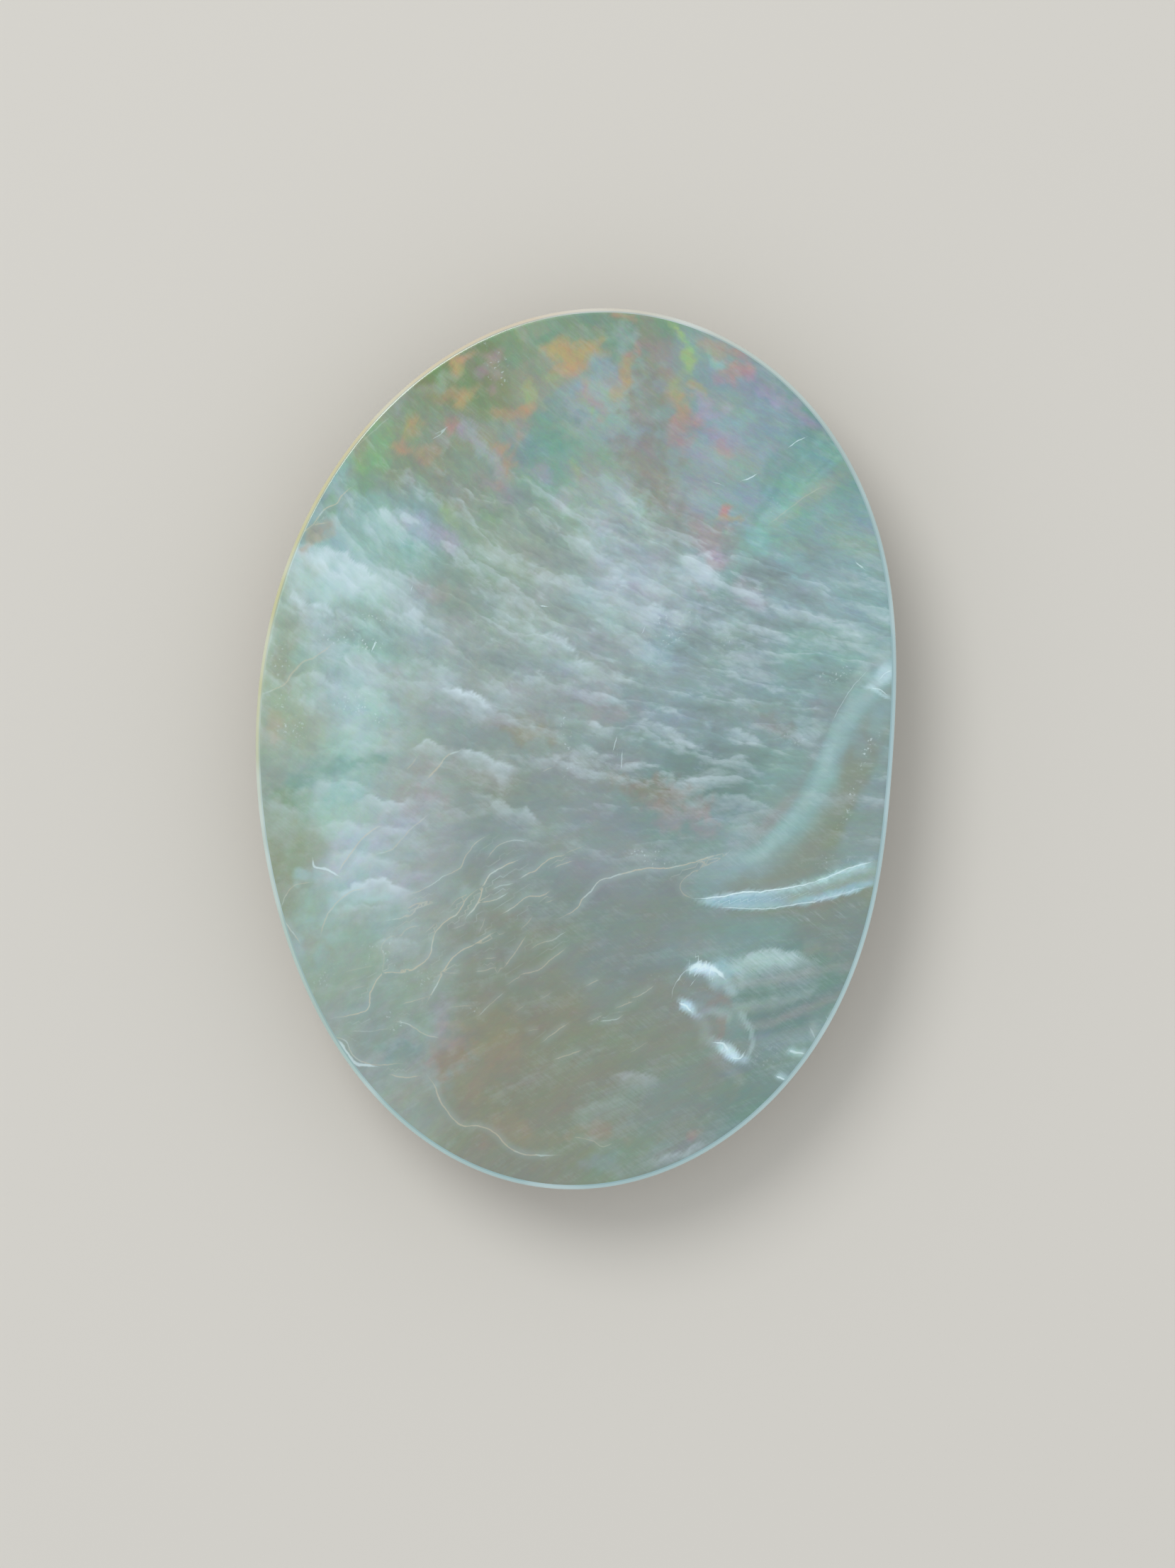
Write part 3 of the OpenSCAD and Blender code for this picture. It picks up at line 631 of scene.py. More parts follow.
# The lens below the ridge, bright with painted highlight, along its upper and its lower side.
LENS_TOP = table("""
    7 -9.25; 7.8 -9.35; 9 -9.25; 10 -9; 11.5 -8.9; 13 -8.7; 14.3 -8.45; 15.5 -8.1; 16.5 -7.65; 17.5 -7.3;
    18.8 -6.95
""")
LENS_FOOT = table("""
    7 -9.25; 8 -9.7; 9.5 -9.95; 11 -9.97; 12.5 -9.9; 14 -9.65; 15.5 -9.4; 16.5 -9.1; 17.5 -8.75; 18.9
    -8.45
""")

# Bands that follow a curve: the curve, the half width, the tone and the strength.
# The bands in frost, ice, sky and drift are painted highlights.
RIBBONS = curves("""
    9.4 -14.7, 11 -14.6, 14 -14.1, 17 -13.6: 0.36 ash 0.6; 9.6 -15.35, 12 -15.2, 14 -14.8, 16 -14.25: 0.4
    fjord 0.95; 10.2 -16.1, 11.4 -15.95, 12.6 -15.75, 14.6 -15.3: 0.3 mist 0.35; 10.9 -16.85, 12.4 -16.6,
    13.6 -16, 15 -15.5: 0.24 fjord 1; 10.6 -17.3, 12.4 -17, 14 -16.3, 16.4 -15.4: 0.3 ash 0.7; 10.2 -17.8,
    12 -17.7, 13 -17.3, 14.2 -16.9: 0.26 fjord 1; 11.6 -18.2, 13.4 -18.1, 15.2 -17.4: 0.5 slate 0.5; 6.5
    -14.6, 7.2 -14.7, 8.4 -15.1, 9.3 -15.5: 0.3 bark 0.7; 7 -15.3, 8 -15.5, 9.2 -15.7: 0.3 ash 0.5; 8.3
    -15.9, 8.9 -15.6, 9.5 -15.9: 0.26 clay 0.55; 9 -16.8, 9.15 -17.3, 9 -17.9: 0.24 clay 0.6; 9.7 -16.9,
    9.9 -17.4, 10.4 -17.9: 0.28 rock 0.8; 9.4 -18.1, 10 -18.1, 10.5 -18.5: 0.3 rock 0.7; 7.7 -16.9, 8.1
    -17.4, 8 -18: 0.4 mist 0.4; 8.1 -16.4, 8.7 -16.3, 9.4 -16.7: 0.26 mist 0.7; 8.8 -14.1, 9.4 -14.5, 9.7
    -15.1: 0.3 ice 0.7; 9.2 -13.7, 9.9 -14, 10.3 -14.6: 0.35 mist 0.6; 10.3 -16.6, 10.8 -17.3, 11 -18.1,
    10.8 -19: 0.18 ice 0.55; 8.6 -19.2, 9.6 -20, 10.2 -20.6: 0.35 haze 0.3; 9 -19.6, 8.2 -19.9, 7.6 -20.6:
    0.6 tan 0.2; 19.4 4.6, 18.6 4, 18.2 3.3: 0.3 sky 0.5; 17.2 3, 16.5 1.9, 15.9 0.6, 15.5 -0.8: 0.35 ice
    0.35; 13.6 -9.2, 15 -8.85, 16.6 -8.35, 18.4 -7.9: 0.26 sage 0.7; 8.2 -9.35, 10 -9.1, 13 -8.8, 15.5
    -8.2: 0.16 frost 0.5; 7.8 -9.55, 10 -9.85, 12.5 -9.8, 15 -9.45: 0.14 ice 0.45; 13.8 -9.55, 15 -9.35,
    16.5 -8.95, 18.2 -8.4: 0.26 drift 0.7; 15 -9.45, 16.2 -9.15, 17.4 -8.8: 0.12 frost 0.5; 14.2 -8.6,
    16.5 -7.85, 18.2 -7.25: 0.34 ice 0.6; 15.2 -8.2, 16.5 -7.7, 17.9 -7.2: 0.14 frost 0.6; 9.8 11.2, 11.4
    13.2, 12.9 15.2, 14.6 17, 16.4 18.6: 0.6 aqua 0.55; 12.6 15.6, 14 17.2, 16 18.9: 0.5 teal 0.6; 11.2
    14.4, 12.4 16, 13 17.2: 0.25 deep_teal 0.45; 14.4 16.6, 15.6 17.8, 16.8 18.9: 0.12 deep_teal 0.6; 14.2
    15.2, 15.6 16.5, 17 17.6: 0.5 sage 0.45
""")

# Soft swellings, most of them bright with painted highlight, laid over all the rest in the form of PATCHES.
SWELLS = table("""
    8.7 -14.3 0.8 0.5 -35 ice 0.7; 9.4 -13.7 0.8 0.4 -25 drift 0.7; 8 -13.75 0.9 0.32 -5 frost 1; 8.5
    -13.9 0.6 0.3 -25 frost 0.9; 8.15 -13.65 0.6 0.2 -8 glare 1; 11.4 -13.3 2 0.55 5 ice 0.45; 12.3 -13
    1.6 0.45 0 glacier 0.5; 9.45 -18.85 1.05 0.36 -32 frost 1; 9.9 -19.15 0.5 0.2 -10 glare 0.4; 7 -16.08
    0.75 0.26 -34 frost 0.95; 7.6 -16.1 0.4 0.3 0 mist 0.5; 13.75 -18.95 0.65 0.2 -12 frost 0.5; 12.75
    -20.45 0.45 0.14 -25 frost 0.6; 14.8 -17.6 0.3 0.5 0 pearl 0.25; 15.9 -16.6 0.2 0.4 -30 pearl 0.3;
    17.7 4.5 1 0.5 50 ice 0.6; 19.2 5.8 0.8 0.4 60 ice 0.5; 17.7 0.2 0.5 1.2 20 brook 0.4; 12.3 -6.8 1.6
    0.5 35 ash 0.4; 16.1 -5.4 0.9 0.5 60 olive 0.4; 19.2 4.6 0.9 0.5 40 frost 0.6; 18.7 3.6 1 0.14 -26
    frost 0.6; 18.8 1.6 0.5 1.6 0 brook 0.4
""")

# The bevel's tone in each direction from the middle, in degrees from +X: the shell's colour with a painted
# reflection.
RIM_REFLECTION_TONES = [(-165, "#b9cbc4"), (-135, "#b2cdc9"), (-90, "#b0d0d6"), (-45, "#bcdadf"), (0, "#b6d5dd"),
             (35, "#b3d1d6"), (65, "#c0cfcc"), (90, "#d4cabb"), (115, "#d0c8ac"), (145, "#c6c69c"),
             (175, "#c2c6a2")]


def soft_patch(x, y, patch, ragged):
    px, py, length, width, turn = patch[:5]
    cos, sin = math.cos(math.radians(turn)), math.sin(math.radians(turn))
    dx, dy = x - px, y - py
    far = np.hypot((dx * cos + dy * sin) / length, (dy * cos - dx * sin) / width)
    return patch[-1] * (1 - smooth(far + ragged, 0.35, 1.6))


def near_curve(curve, x, y, reach):
    """The points within reach of a curve: which they are, how far left of it, and how far past its ends."""
    low, high = np.min(curve, 0) - reach, np.max(curve, 0) + reach
    picked = np.flatnonzero((x > low[0]) & (x < high[0]) & (y > low[1]) & (y < high[1]))
    path, tangent = spline(curve, 0.15)
    away = np.stack([x[picked], y[picked]], -1)[:, None] - path
    nearest = np.argmin((away ** 2).sum(-1), 1)
    away = away[np.arange(len(picked)), nearest]
    side = tangent[nearest]
    across = side[:, 0] * away[:, 1] - side[:, 1] * away[:, 0]
    return picked, across, np.abs((side * away).sum(1))


def wander(x, y, reaches, sizes, octaves, seeds):
    """The points, moved along x and along y by noise of these reaches and sizes."""
    moves = [reach * layered_noise(x, y, size, octaves, seed)
             for reach, size, seed in zip(reaches, sizes, seeds)]
    return x + moves[0], y + moves[1]


def zone_tones(x, y):
    """The face's tone at each point, before its clouds and lines."""
    wide_x, wide_y = wander(x, y, (1.6, 1.2), (5.0, 4.0), 4, (11, 23))
    total, weight = 0, 0
    for row_y, first_x, row in BROAD_TONES:
        for step, tone in enumerate(row.split()):
            away = (wide_x - first_x - step * TONE_SPACING) ** 2 + (wide_y - row_y) ** 2
            near = np.exp(-away / TONE_SPREAD)[:, None] + 1e-9
            total, weight = total + near * TONES[tone], weight + near
    tones = total / weight
    ragged = 0.7 * layered_noise(x + 0.4 * y, y - 0.3 * x, 0.9, 4, 37)
    near_x, near_y = wander(x, y, (0.5, 0.5), (1.6, 1.6), 3, (41, 43))

    def lay(cover, tone):
        nonlocal tones
        tones = tones + cover[:, None] * (TONES[tone] - tones)
    for patch in PATCHES:
        lay(soft_patch(near_x, near_y, patch, ragged), patch[5])
    for cover, tone in ridge_bands(x, y):
        lay(cover, tone)
    fine_x, fine_y = wander(x, y, (0.15, 0.15), (0.7, 0.7), 3, (67, 73))
    for curve, width, tone, strength in RIBBONS:
        picked, across, beyond = near_curve(curve, fine_x, fine_y, 2.5 * width)
        cover = np.zeros(len(x))
        cover[picked] = strength * (1 - smooth(np.abs(across), 0.3 * width, 1.5 * width))
        cover[picked] *= 1 - smooth(beyond, 0, 2 * width)
        lay(cover, tone)
    for patch in SWELLS:
        lay(soft_patch(fine_x, fine_y, patch, 0.4 * ragged), patch[5])
    return tones


def band(value, rise, risen, fall, fallen):
    """One between risen and fall, running down to zero at rise and at fallen."""
    return smooth(value, rise, risen) * (1 - smooth(value, fall, fallen))


def ridge_bands(x, y):
    """Covers and tones of the bands along the hooked ridge, and of the lens below it, with painted light.
    """
    edge, top, foot = (Strokes([curve], x, y).across for curve in (HOOK, LENS_TOP, LENS_FOOT))
    inside = edge + 0.2 * layered_noise(x, y, 1.2, 4, 61)
    above_lens = smooth(top, -0.1, 0.15)
    in_lens = smooth(-top, -0.08, 0.1) * smooth(foot, -0.08, 0.1) * smooth(x, 6.9, 7.6)
    tip = smooth(x, 8.0, 11.0)
    ridge = above_lens * (0.35 + 0.65 * smooth(x, 9.0, 12.0))
    wide = 1.0 + 0.45 * smooth(-y, 0.0, 4.0)
    crest = smooth(edge, -0.3, 0.4) * (1 - smooth(inside, 0.6 * wide, 1.8 * wide))
    # Painted highlight along the outer crest, painted shade in the drab and slate bands inside it, and a
    # painted glow in the lens.
    return [
        (0.45 * band(-edge, 0.0, 0.15, 0.2, 1.1) * smooth(x, 10, 12), "dusk"),
        (0.9 * band(inside, 1.0, 2.0, 3.0, 4.2) * above_lens * tip, "drab"),
        (0.85 * smooth(inside, 3.0, 3.9) * above_lens * smooth(x, 15.5, 17.0), "slate"),
        (0.6 * smooth(inside, 1.2, 2.2) * smooth(y, 0.0, 2.5) * smooth(x, 16.0, 17.5), "brook"),
        (0.8 * crest * ridge * smooth(x, 6.2, 7.6), "pool"),
        (0.35 * smooth(edge, 0.1, 0.6) * (1 - smooth(inside, 0.6, 1.5)) * ridge * tip, "ice"),
        (0.4 * band(top, 0, 0.1, 0.2, 0.7) * smooth(x, 9, 12), "slate"),
        (0.35 * smooth(top, 0.5, 0.0) * above_lens * smooth(x, 14.5, 16.5), "brook"),
        (0.6 * band(-foot, 0.0, 0.15, 0.2, 0.9) * smooth(x, 8.0, 10.0), "taupe"),
        (0.85 * in_lens, "fog"),
        (0.75 * in_lens * band(x, 7.2, 8.6, 11.0, 14.5), "drift"),
    ]


def thread_field(x, y, lines):
    """For the nearest line to each point: the signed distance across it, its strength and half width."""
    paths, widths, strengths = zip(*lines)
    near = Strokes(paths, x, y)
    widths, strengths = np.array(widths), np.array(strengths)
    ends = smooth(np.minimum(near.place, 1 - near.place), -0.01, 0.12)
    window = (1 - smooth(near.distance, 0.45, 0.75)) * (1 - smooth(near.beyond, 0.05, 0.2))
    width = 0.68 * widths[near.owner] * (0.35 + 0.65 * ends)
    return np.column_stack([near.across, strengths[near.owner] * window * (0.25 + 0.75 * ends), width])


def fold_light(x, y):
    """How much painted highlight each point gets as part of a pale fold."""
    wave = 0.28 * layered_noise(x, y, 0.9, 3, 51)
    glow = np.zeros(len(x))
    for edge, fade, strength in FOLDS:
        path, _ = spline(edge, 0.1)
        chord = path[-1] - path[0]
        length = np.hypot(*chord)
        along, up = chord / length, np.array([-chord[1], chord[0]]) / length
        place = (x - path[0, 0]) * along[0] + (y - path[0, 1]) * along[1]
        height = (x - path[0, 0]) * up[0] + (y - path[0, 1]) * up[1]
        order = np.argsort((path - path[0]) @ along)
        crest = np.interp(place, ((path - path[0]) @ along)[order], ((path - path[0]) @ up)[order])
        below = crest - height + wave
        taper = smooth(np.minimum(place, length - place) / length, -0.25, 0.3)
        shape = smooth(below, -0.16, 0.12) * np.exp(-np.maximum(below, 0) / fade)
        glow = np.maximum(glow, strength * taper * shape)
    return glow


def flow_lines(x, y):
    """Coordinates along and across the grain of the layers, which steepens towards the top."""
    return x - 0.4 * y, y + x * (0.2 + 0.026 * y)


# ============ The pearl slab
def add_field(mesh, name, values, kind="FLOAT"):
    layer = mesh.attributes.new(name, kind, "POINT")
    key = {"FLOAT": "value", "FLOAT_VECTOR": "vector", "FLOAT_COLOR": "color"}[kind]
    layer.data.foreach_set(key, np.ascontiguousarray(values, np.float32).ravel())


HATCH_TURN = math.radians(38)    # how far the fine hatching leans down to the right
# Terraces of painted cloud sheen, from the largest: period, width of the scallops, offset of the sway,
# sharpness.
BROAD_TERRACE = (2.3, 1.3, 3.1, 2.0)
MIDDLE_TERRACE = (1.0, 0.6, 5.7, 1.6)
FINE_TERRACE = (0.42, 0.3, 9.3, 1.2)
# How much each kind of mark adds to the face's painted light and shade; hatch, fibres and mottle are its
# grain.
BROAD_LIGHT, MIDDLE_LIGHT, FINE_LIGHT, PUFF_LIGHT, DRIFT_LIGHT = 0.38, 0.2, 0.05, 1.1, 2.4
HATCH_LIGHT, FIBRE_LIGHT, MOTTLE_LIGHT, FOLD_LIGHT = 0.34, 0.16, 0.3, 1.3
# How strongly painted highlight and shade are mixed in, and the parts of a growth line and the specks are
# laid on.
LIT, SHADED, HALO_COVER, SHADE_COVER, CORE_COVER, SPECK_COVER = 0.75, -0.85, 0.28, 0.25, 0.74, 0.48
HALO_REACH = 0.5                 # how far the pale halo of a growth line reaches
SPECKS_PER_MM = 4.6


def face_material():
    """The polished face: layers like banks of cloud with their sheen and shade painted in, the hues of the
    shell, and its fine lines.
    """
    g = Graph("nacre_face")
    flow = g.attribute("flow", "Vector")
    place = g.place()
    warped = g.vector("ADD", flow, g.centred(flow, 2.5, 3))
    grain = g.stretch(warped, (0.42, 1.0, 1.0))
    height = g.split(flow)["Y"]

    def terrace(period, scallop, drift, sharpness):
        """Overlapping layers, each with a painted highlight just under its scalloped upper edge, fading
        below it.
        """
        lobes = g.math("ABSOLUTE", g.minus(g.noise(grain, scallop, 3, 0.5), 0.5))
        sway = g.noise(g.vector("ADD", grain, (drift, drift, 0)), 3.0 * scallop, 2)
        level = g.minus(height, g.times(lobes, 2.6 * scallop))
        level = g.plus(level, g.times(sway, 3.0 * period))
        share = g.math("FRACT", g.math("DIVIDE", level, period))
        lit = g.times(g.math("POWER", share, sharpness), g.step(share, 1.0, 0.88))
        return g.minus(lit, 0.9 / (1 + sharpness))

    patchy = g.step(g.noise(g.vector("ADD", grain, (7, 3, 0)), 2.6, 2), 0.35, 0.62)
    billows = g.noise(g.stretch(grain, (1.7, 1.0, 1.0)), 1.0, 5, 0.5)
    puffs = g.math("ABSOLUTE", g.minus(billows, 0.5))
    drift = g.minus(g.noise(grain, 2.6, 3), 0.5)
    cloud_sheen = g.sum(g.times(terrace(*BROAD_TERRACE), BROAD_LIGHT),
                   (g.times(terrace(*MIDDLE_TERRACE), patchy), MIDDLE_LIGHT),
                   (terrace(*FINE_TERRACE), FINE_LIGHT),
                   (g.minus(puffs, 0.09), PUFF_LIGHT), (drift, DRIFT_LIGHT))
    slant = g.add("VectorRotate", {"rotation_type": "Z_AXIS"}, Vector=place, Angle=HATCH_TURN)
    hatch = g.stretch(slant.outputs["Vector"], (0.14, 1.0, 1.0))
    hatch = g.minus(g.noise(hatch, 0.13, 3, 0.6), 0.5)
    fibre = g.minus(g.noise(g.stretch(flow, (0.16, 1.0, 1.0)), 0.22, 3), 0.5)
    mottle = g.minus(g.noise(place, 1.1, 6, 0.62), 0.5)
    # The face's painted light and shade: cloud sheen and fold highlights, with the shell's own hatch,
    # fibres and mottle.
    light = g.sum(g.times(cloud_sheen, g.attribute("cloud_sheen")),
                  (g.times(hatch, g.attribute("fibres")), HATCH_LIGHT), (fibre, FIBRE_LIGHT),
                  (g.times(mottle, g.attribute("mottle")), MOTTLE_LIGHT),
                  (g.attribute("folds"), FOLD_LIGHT))
    hues = g.stretch(warped, (0.6, 1.0, 1.0))
    colour = g.tint(g.attribute("zone", "Color"), hues, 3.0, 6, 0.85, g.attribute("shimmer"))
    # Painted highlight where that light is high, painted shade where it is low.
    colour = g.mix(g.times(light, LIT, clamp=True), colour, shell("#d2e6f0"))
    colour = g.mix(g.times(light, SHADED, clamp=True), colour, shell("#727e80"))

    jitter = g.times(g.minus(g.noise(place, 0.7, 3), 0.5), 0.22)

    def line(name):
        """A line's field, the uneven distance across the line, and how much its core covers."""
        parts = g.split(g.attribute(name, "Vector"))
        across = g.plus(parts["X"], jitter)
        width = g.times(g.times(parts["Z"], g.noise(place, 0.9, 3)), 2.0)
        core = g.step(g.math("DIVIDE", g.math("ABSOLUTE", across), width), 0.35, 1.25, 1, 0)
        return parts, across, g.times(core, parts["Y"])

    # Growth lines: a painted pale glow around each, painted shade along one side, and a cream core.
    parts, across, core = line("threads")
    halo = g.step(g.math("ABSOLUTE", parts["X"]), HALO_REACH, 0.0)
    shade = g.times(g.step(across, -0.02, -0.1), g.step(across, -0.55, -0.1))
    colour = g.cover(colour, g.times(halo, parts["Y"]), HALO_COVER, shell("#b4cdd0"))
    colour = g.cover(colour, g.times(shade, parts["Y"]), SHADE_COVER, shell("#76857f"))
    cream = g.mix(g.step(g.noise(place, 1.8, 2), 0.5, 0.68), shell("#c9c1aa"), shell("#c2d8d8"))
    colour = g.cover(colour, core, CORE_COVER, cream)
    colour = g.mix(line("glints")[-1], colour, shell("#dcf4fa"))

    shaken = g.vector("ADD", place, g.stretch(g.centred(place, 0.12, 3), (0.3, 0.3, 0.3)))
    cells = g.spots(shaken, SPECKS_PER_MM)
    lucky = g.step(g.split(cells["Color"])["X"], 0.35, 0.6)
    dots = g.times(g.step(cells["Distance"], 0.4, 0.12), lucky)
    colour = g.cover(colour, g.times(dots, g.attribute("specks")), SPECK_COVER, shell("#d2e6ea"))
    return g.finish(Base_Color=colour, Roughness=0.38, Metallic=0.25, Coat_Weight=1.0, Coat_Roughness=0.03)


def bevel_material():
    """The polished bevel: a smooth pale line, its tone partly a painted reflection, a little darker along
    its inner side.
    """
    g = Graph("nacre_bevel")
    patches = g.noise(g.place(), 5.0, 2, 0.4)
    inner = g.step(g.attribute("lip"), 0.35, 0.05)
    colour = g.cover(g.attribute("rim", "Color"), inner, 0.5, shell("#7fa0a4"))
    colour = g.cover(colour, g.step(patches, 0.5, 0.75), 0.15, shell("#8e9e9a"))
    colour = g.cover(colour, g.step(patches, 0.48, 0.25), 0.35, shell("#dfeff4"))
    return g.finish(Base_Color=colour, Roughness=0.3, Metallic=0.2, Coat_Weight=1.0, Coat_Roughness=0.06)


def side_material():
    """The sawn and polished edge, where the shell's layers show as fine lines."""
    g = Graph("nacre_side")
    place = g.place()
    parts = g.split(place)
    level = g.plus(parts["Z"], g.times(g.noise(place, 7.0, 3), 0.9))
    stack = g.add("CombineXYZ", X=g.times(parts["X"], 0.02), Z=level).outputs["Vector"]
    layers = g.plus(g.times(g.noise(stack, 0.55, 2), 0.65), g.times(g.noise(stack, 0.09, 3, 0.7), 0.35))
    colour = g.ramp(layers, ((0.30, "#6f7468"), (0.42, "#a8a893"), (0.50, "#c9c4ac"), (0.57, "#b3bdb6"),
                             (0.66, "#d6d8cc"), (0.75, "#8d9488")))
    # A little of the bevel's tone, with its painted reflection.
    colour = g.mix(0.3, colour, g.attribute("rim", "Color"))
    colour = g.tint(colour, place, 2.4, 5, 0.7, (0.7, 0.5, 0.7))
    stain = g.step(g.noise(place, 5.0, 4, 0.6), 0.52, 0.7)
    colour = g.cover(colour, stain, 0.45, linear("#8a7a55"))
    rough = g.step(layers, 0.35, 0.7, 0.5, 0.3)
    normal = g.bump(g.sum(layers, (g.noise(place, 0.12, 3), 0.3)), 0.05 * MM, 0.5)
    return g.finish(Base_Color=colour, Roughness=rough, Normal=normal, Coat_Weight=0.5, Coat_Roughness=0.2)


def back_material():
    """The ground back of the shell: honey and grey growth bands, with the marks of the wheel."""
    g = Graph("nacre_back")
    place = g.place()
    parts = g.split(place)
    along = g.sum(parts["Y"], (parts["X"], 0.45), (g.noise(place, 14.0, 2, 0.4), 9.0))
    band_place = g.add("CombineXYZ", X=along).outputs["Vector"]
    bands = g.sum(g.times(g.noise(band_place, 4.0, 2), 0.6), (g.noise(band_place, 0.7, 4), 0.4))
    colour = g.ramp(bands, ((0.28, "#a2977e"), (0.42, "#bdb59d"), (0.52, "#c8c5b5"), (0.62, "#b6bab0"),
                            (0.74, "#cfcdc1")))
    colour = g.tint(colour, place, 3.0, 6, 0.75, (0.5, 0.5, 0.5))
    grind = g.noise(g.stretch(place, (0.12, 2.2, 1.0)), 0.35, 4, 0.65)
    cross = g.noise(g.stretch(place, (2.0, 0.1, 1.0)), 0.4, 3, 0.6)
    marks = g.sum(g.times(grind, 0.7), (cross, 0.3))
    colour = g.cover(colour, g.step(marks, 0.55, 0.7), 0.25, linear("#e4e2d8"))
    return g.finish(Base_Color=colour, Roughness=g.step(marks, 0.3, 0.7, 0.34, 0.56),
                    Normal=g.bump(marks, 0.04 * MM, 0.6), Coat_Weight=0.25, Coat_Roughness=0.25)


def face_fields(x, y):
    """How strong each kind of mark is at each point of the face."""
    ragged = 0.8 * layered_noise(x, y, 0.8, 3, 71)
    top = smooth(y + 0.15 * x, 12, 17)
    low_left = smooth(-y, 3, 10) * smooth(-x, 0, 6)
    on_ridge = sum(np.exp(-((x - px - 1.2) ** 2 + (y - py + 0.8) ** 2) / 5) for px, py in HOOK[1:14:3])
    calm = np.clip(on_ridge, 0, 1)
    # The banks of painted cloud sheen lie across the middle of the face, and are weaker low down on either
    # side.
    cloud = band(y, -11, -2, 14 - 0.25 * x, 19 - 0.25 * x)
    cloud = cloud * (1 - 0.6 * smooth(-x, -2, 6) * (1 - smooth(y, 1, 7)))
    cloud = cloud * (1 - 0.55 * smooth(x, -5, -1) * (1 - smooth(y, -4.5, -0.5)))
    feathers = sum(soft_patch(x, y, patch, ragged) for patch in FEATHERS)
    return {
        "folds": fold_light(x, y),
        "specks": sum(soft_patch(x, y, cluster, ragged) for cluster in SPECKS),
        "cloud_sheen": (0.15 + 0.85 * cloud) * (1 - 0.75 * calm),
        "fibres": (0.75 - 0.15 * top) * (1 - 0.7 * low_left) + np.clip(feathers, 0, 3),
        "mottle": 0.75 + 0.7 * low_left - 0.15 * top,
        "shimmer": (0.62 + 0.45 * top) * (1 - 0.5 * calm),
    }


def rim_reflection_colours(x, y):
    """The bevel's tone at each point, partly a painted reflection, by its direction from the middle."""
    turn = np.degrees(np.arctan2(y, x))
    angles, codes = zip(*RIM_REFLECTION_TONES)
    channels = np.array([shell(code) for code in codes]).T
    return np.stack([np.interp(turn, angles, channel, period=360) for channel in channels], -1)


def pearl_slab():
    points, faces, cap, counts = slab_mesh()
    mesh = bpy.data.meshes.new("pearl_slab")
    mesh.from_pydata((points * MM).tolist(), [], faces.tolist() + [cap])
    x, y, z = points.T
    tones = zone_tones(x, y)
    add_field(mesh, "zone", np.column_stack([tones, np.ones(len(x))]), "FLOAT_COLOR")
    along, across = flow_lines(x, y)
    add_field(mesh, "flow", np.column_stack([along, across, np.zeros(len(x))]), "FLOAT_VECTOR")
    add_field(mesh, "rim", rim_reflection_colours(x, y), "FLOAT_COLOR")
    add_field(mesh, "lip", np.clip((FACE_Z - z) / BEVEL_DEPTH, 0, 1))
    for name, lines in (("threads", THREADS), ("glints", GLINTS)):
        add_field(mesh, name, thread_field(x, y, lines), "FLOAT_VECTOR")
    for name, values in face_fields(x, y).items():
        add_field(mesh, name, values)
    for finish in (face_material(), bevel_material(), side_material(), back_material()):
        mesh.materials.append(finish)
    numbers = np.repeat(np.arange(4), counts)
    mesh.polygons.foreach_set("material_index", np.append(numbers, 3).astype(np.int32))
    mesh.shade_smooth()
    slab = bpy.data.objects.new("pearl_slab", mesh)
    bpy.context.scene.collection.objects.link(slab)
    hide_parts("pearl_face")
    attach(slab, "root")


# ============ The shank: brass plate, wire eye, solder and cement
WIRE_D = 1.2
WIRE_R = WIRE_D / 2
EYE_LOW, EYE_HIGH = (np.array(corner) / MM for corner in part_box("wire_eye"))
PLATE_LOW, PLATE_HIGH = (np.array(corner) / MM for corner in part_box("shank_plate"))
SOLDER_LOW, SOLDER_HIGH = (np.array(corner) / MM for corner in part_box("solder_rings"))
SOLDER_WIDTH = SOLDER_HIGH[2] - SOLDER_LOW[2]
LEG_X = SOLDER_HIGH[0] - SOLDER_WIDTH - WIRE_R
FOOT_Z = EYE_HIGH[2] - WIRE_R
BEND_R = FOOT_Z - PLATE_HIGH[2]
HAIR = 0.006                     # how far round pieces stay inside the CAD model's flats
HOLE_CLEARANCE = 0.04
CUT_END = 0.86                   # how far the cut ends of the wire are narrowed
WIRE_FACET = 12                  # degrees around the wire from one of its points to the next
FOOT_STEPS, BEND_STEPS, LEG_STEPS, ARC_STEPS = 6, 16, 10, 30
COLLAR_STEPS, COLLAR_LEVELS = 60, 9
PLATE_STEPS = 144
PLATE_ROLL, ROLL_START = 0.22, 0.02          # the rolled edge: its radius, and how far up it starts
# The plate's outer side, from the middle: radius, and how far up from the crest of the raised ring.
PLATE_SIDE = ((1.0, 0.06), (3.9, 0.06), (4.25, 0.05), (4.45, 0.0), (4.75, 0.0), (4.95, 0.05), (5.2, 0.06))
PLATE_INSIDE = (4.6, 1.0)        # radii of the rings on its flat inner side


def add_piece(name, points, faces, node, finish):
    mesh = bpy.data.meshes.new(name)
    mesh.from_pydata((np.array(points) * MM).tolist(), [], faces)
    mesh.materials.append(finish)
    mesh.shade_smooth()
    piece = bpy.data.objects.new(name, mesh)
    bpy.context.scene.collection.objects.link(piece)
    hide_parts(node)
    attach(piece, "root")
    return piece


def bridge(rings, closed):
    """Faces between rings of equal length, with caps on the first and last unless it is a closed loop."""
    count, levels = len(rings[0]), len(rings)
    faces = []
    for level in range(levels if closed else levels - 1):
        here, there = level * count, (level + 1) % levels * count
        for i in range(count):
            j = (i + 1) % count
            faces.append((here + i, here + j, there + j, there + i))
    if not closed:
        faces.append(tuple(reversed(range(count))))
        faces.append(tuple(range((levels - 1) * count, levels * count)))
    return faces


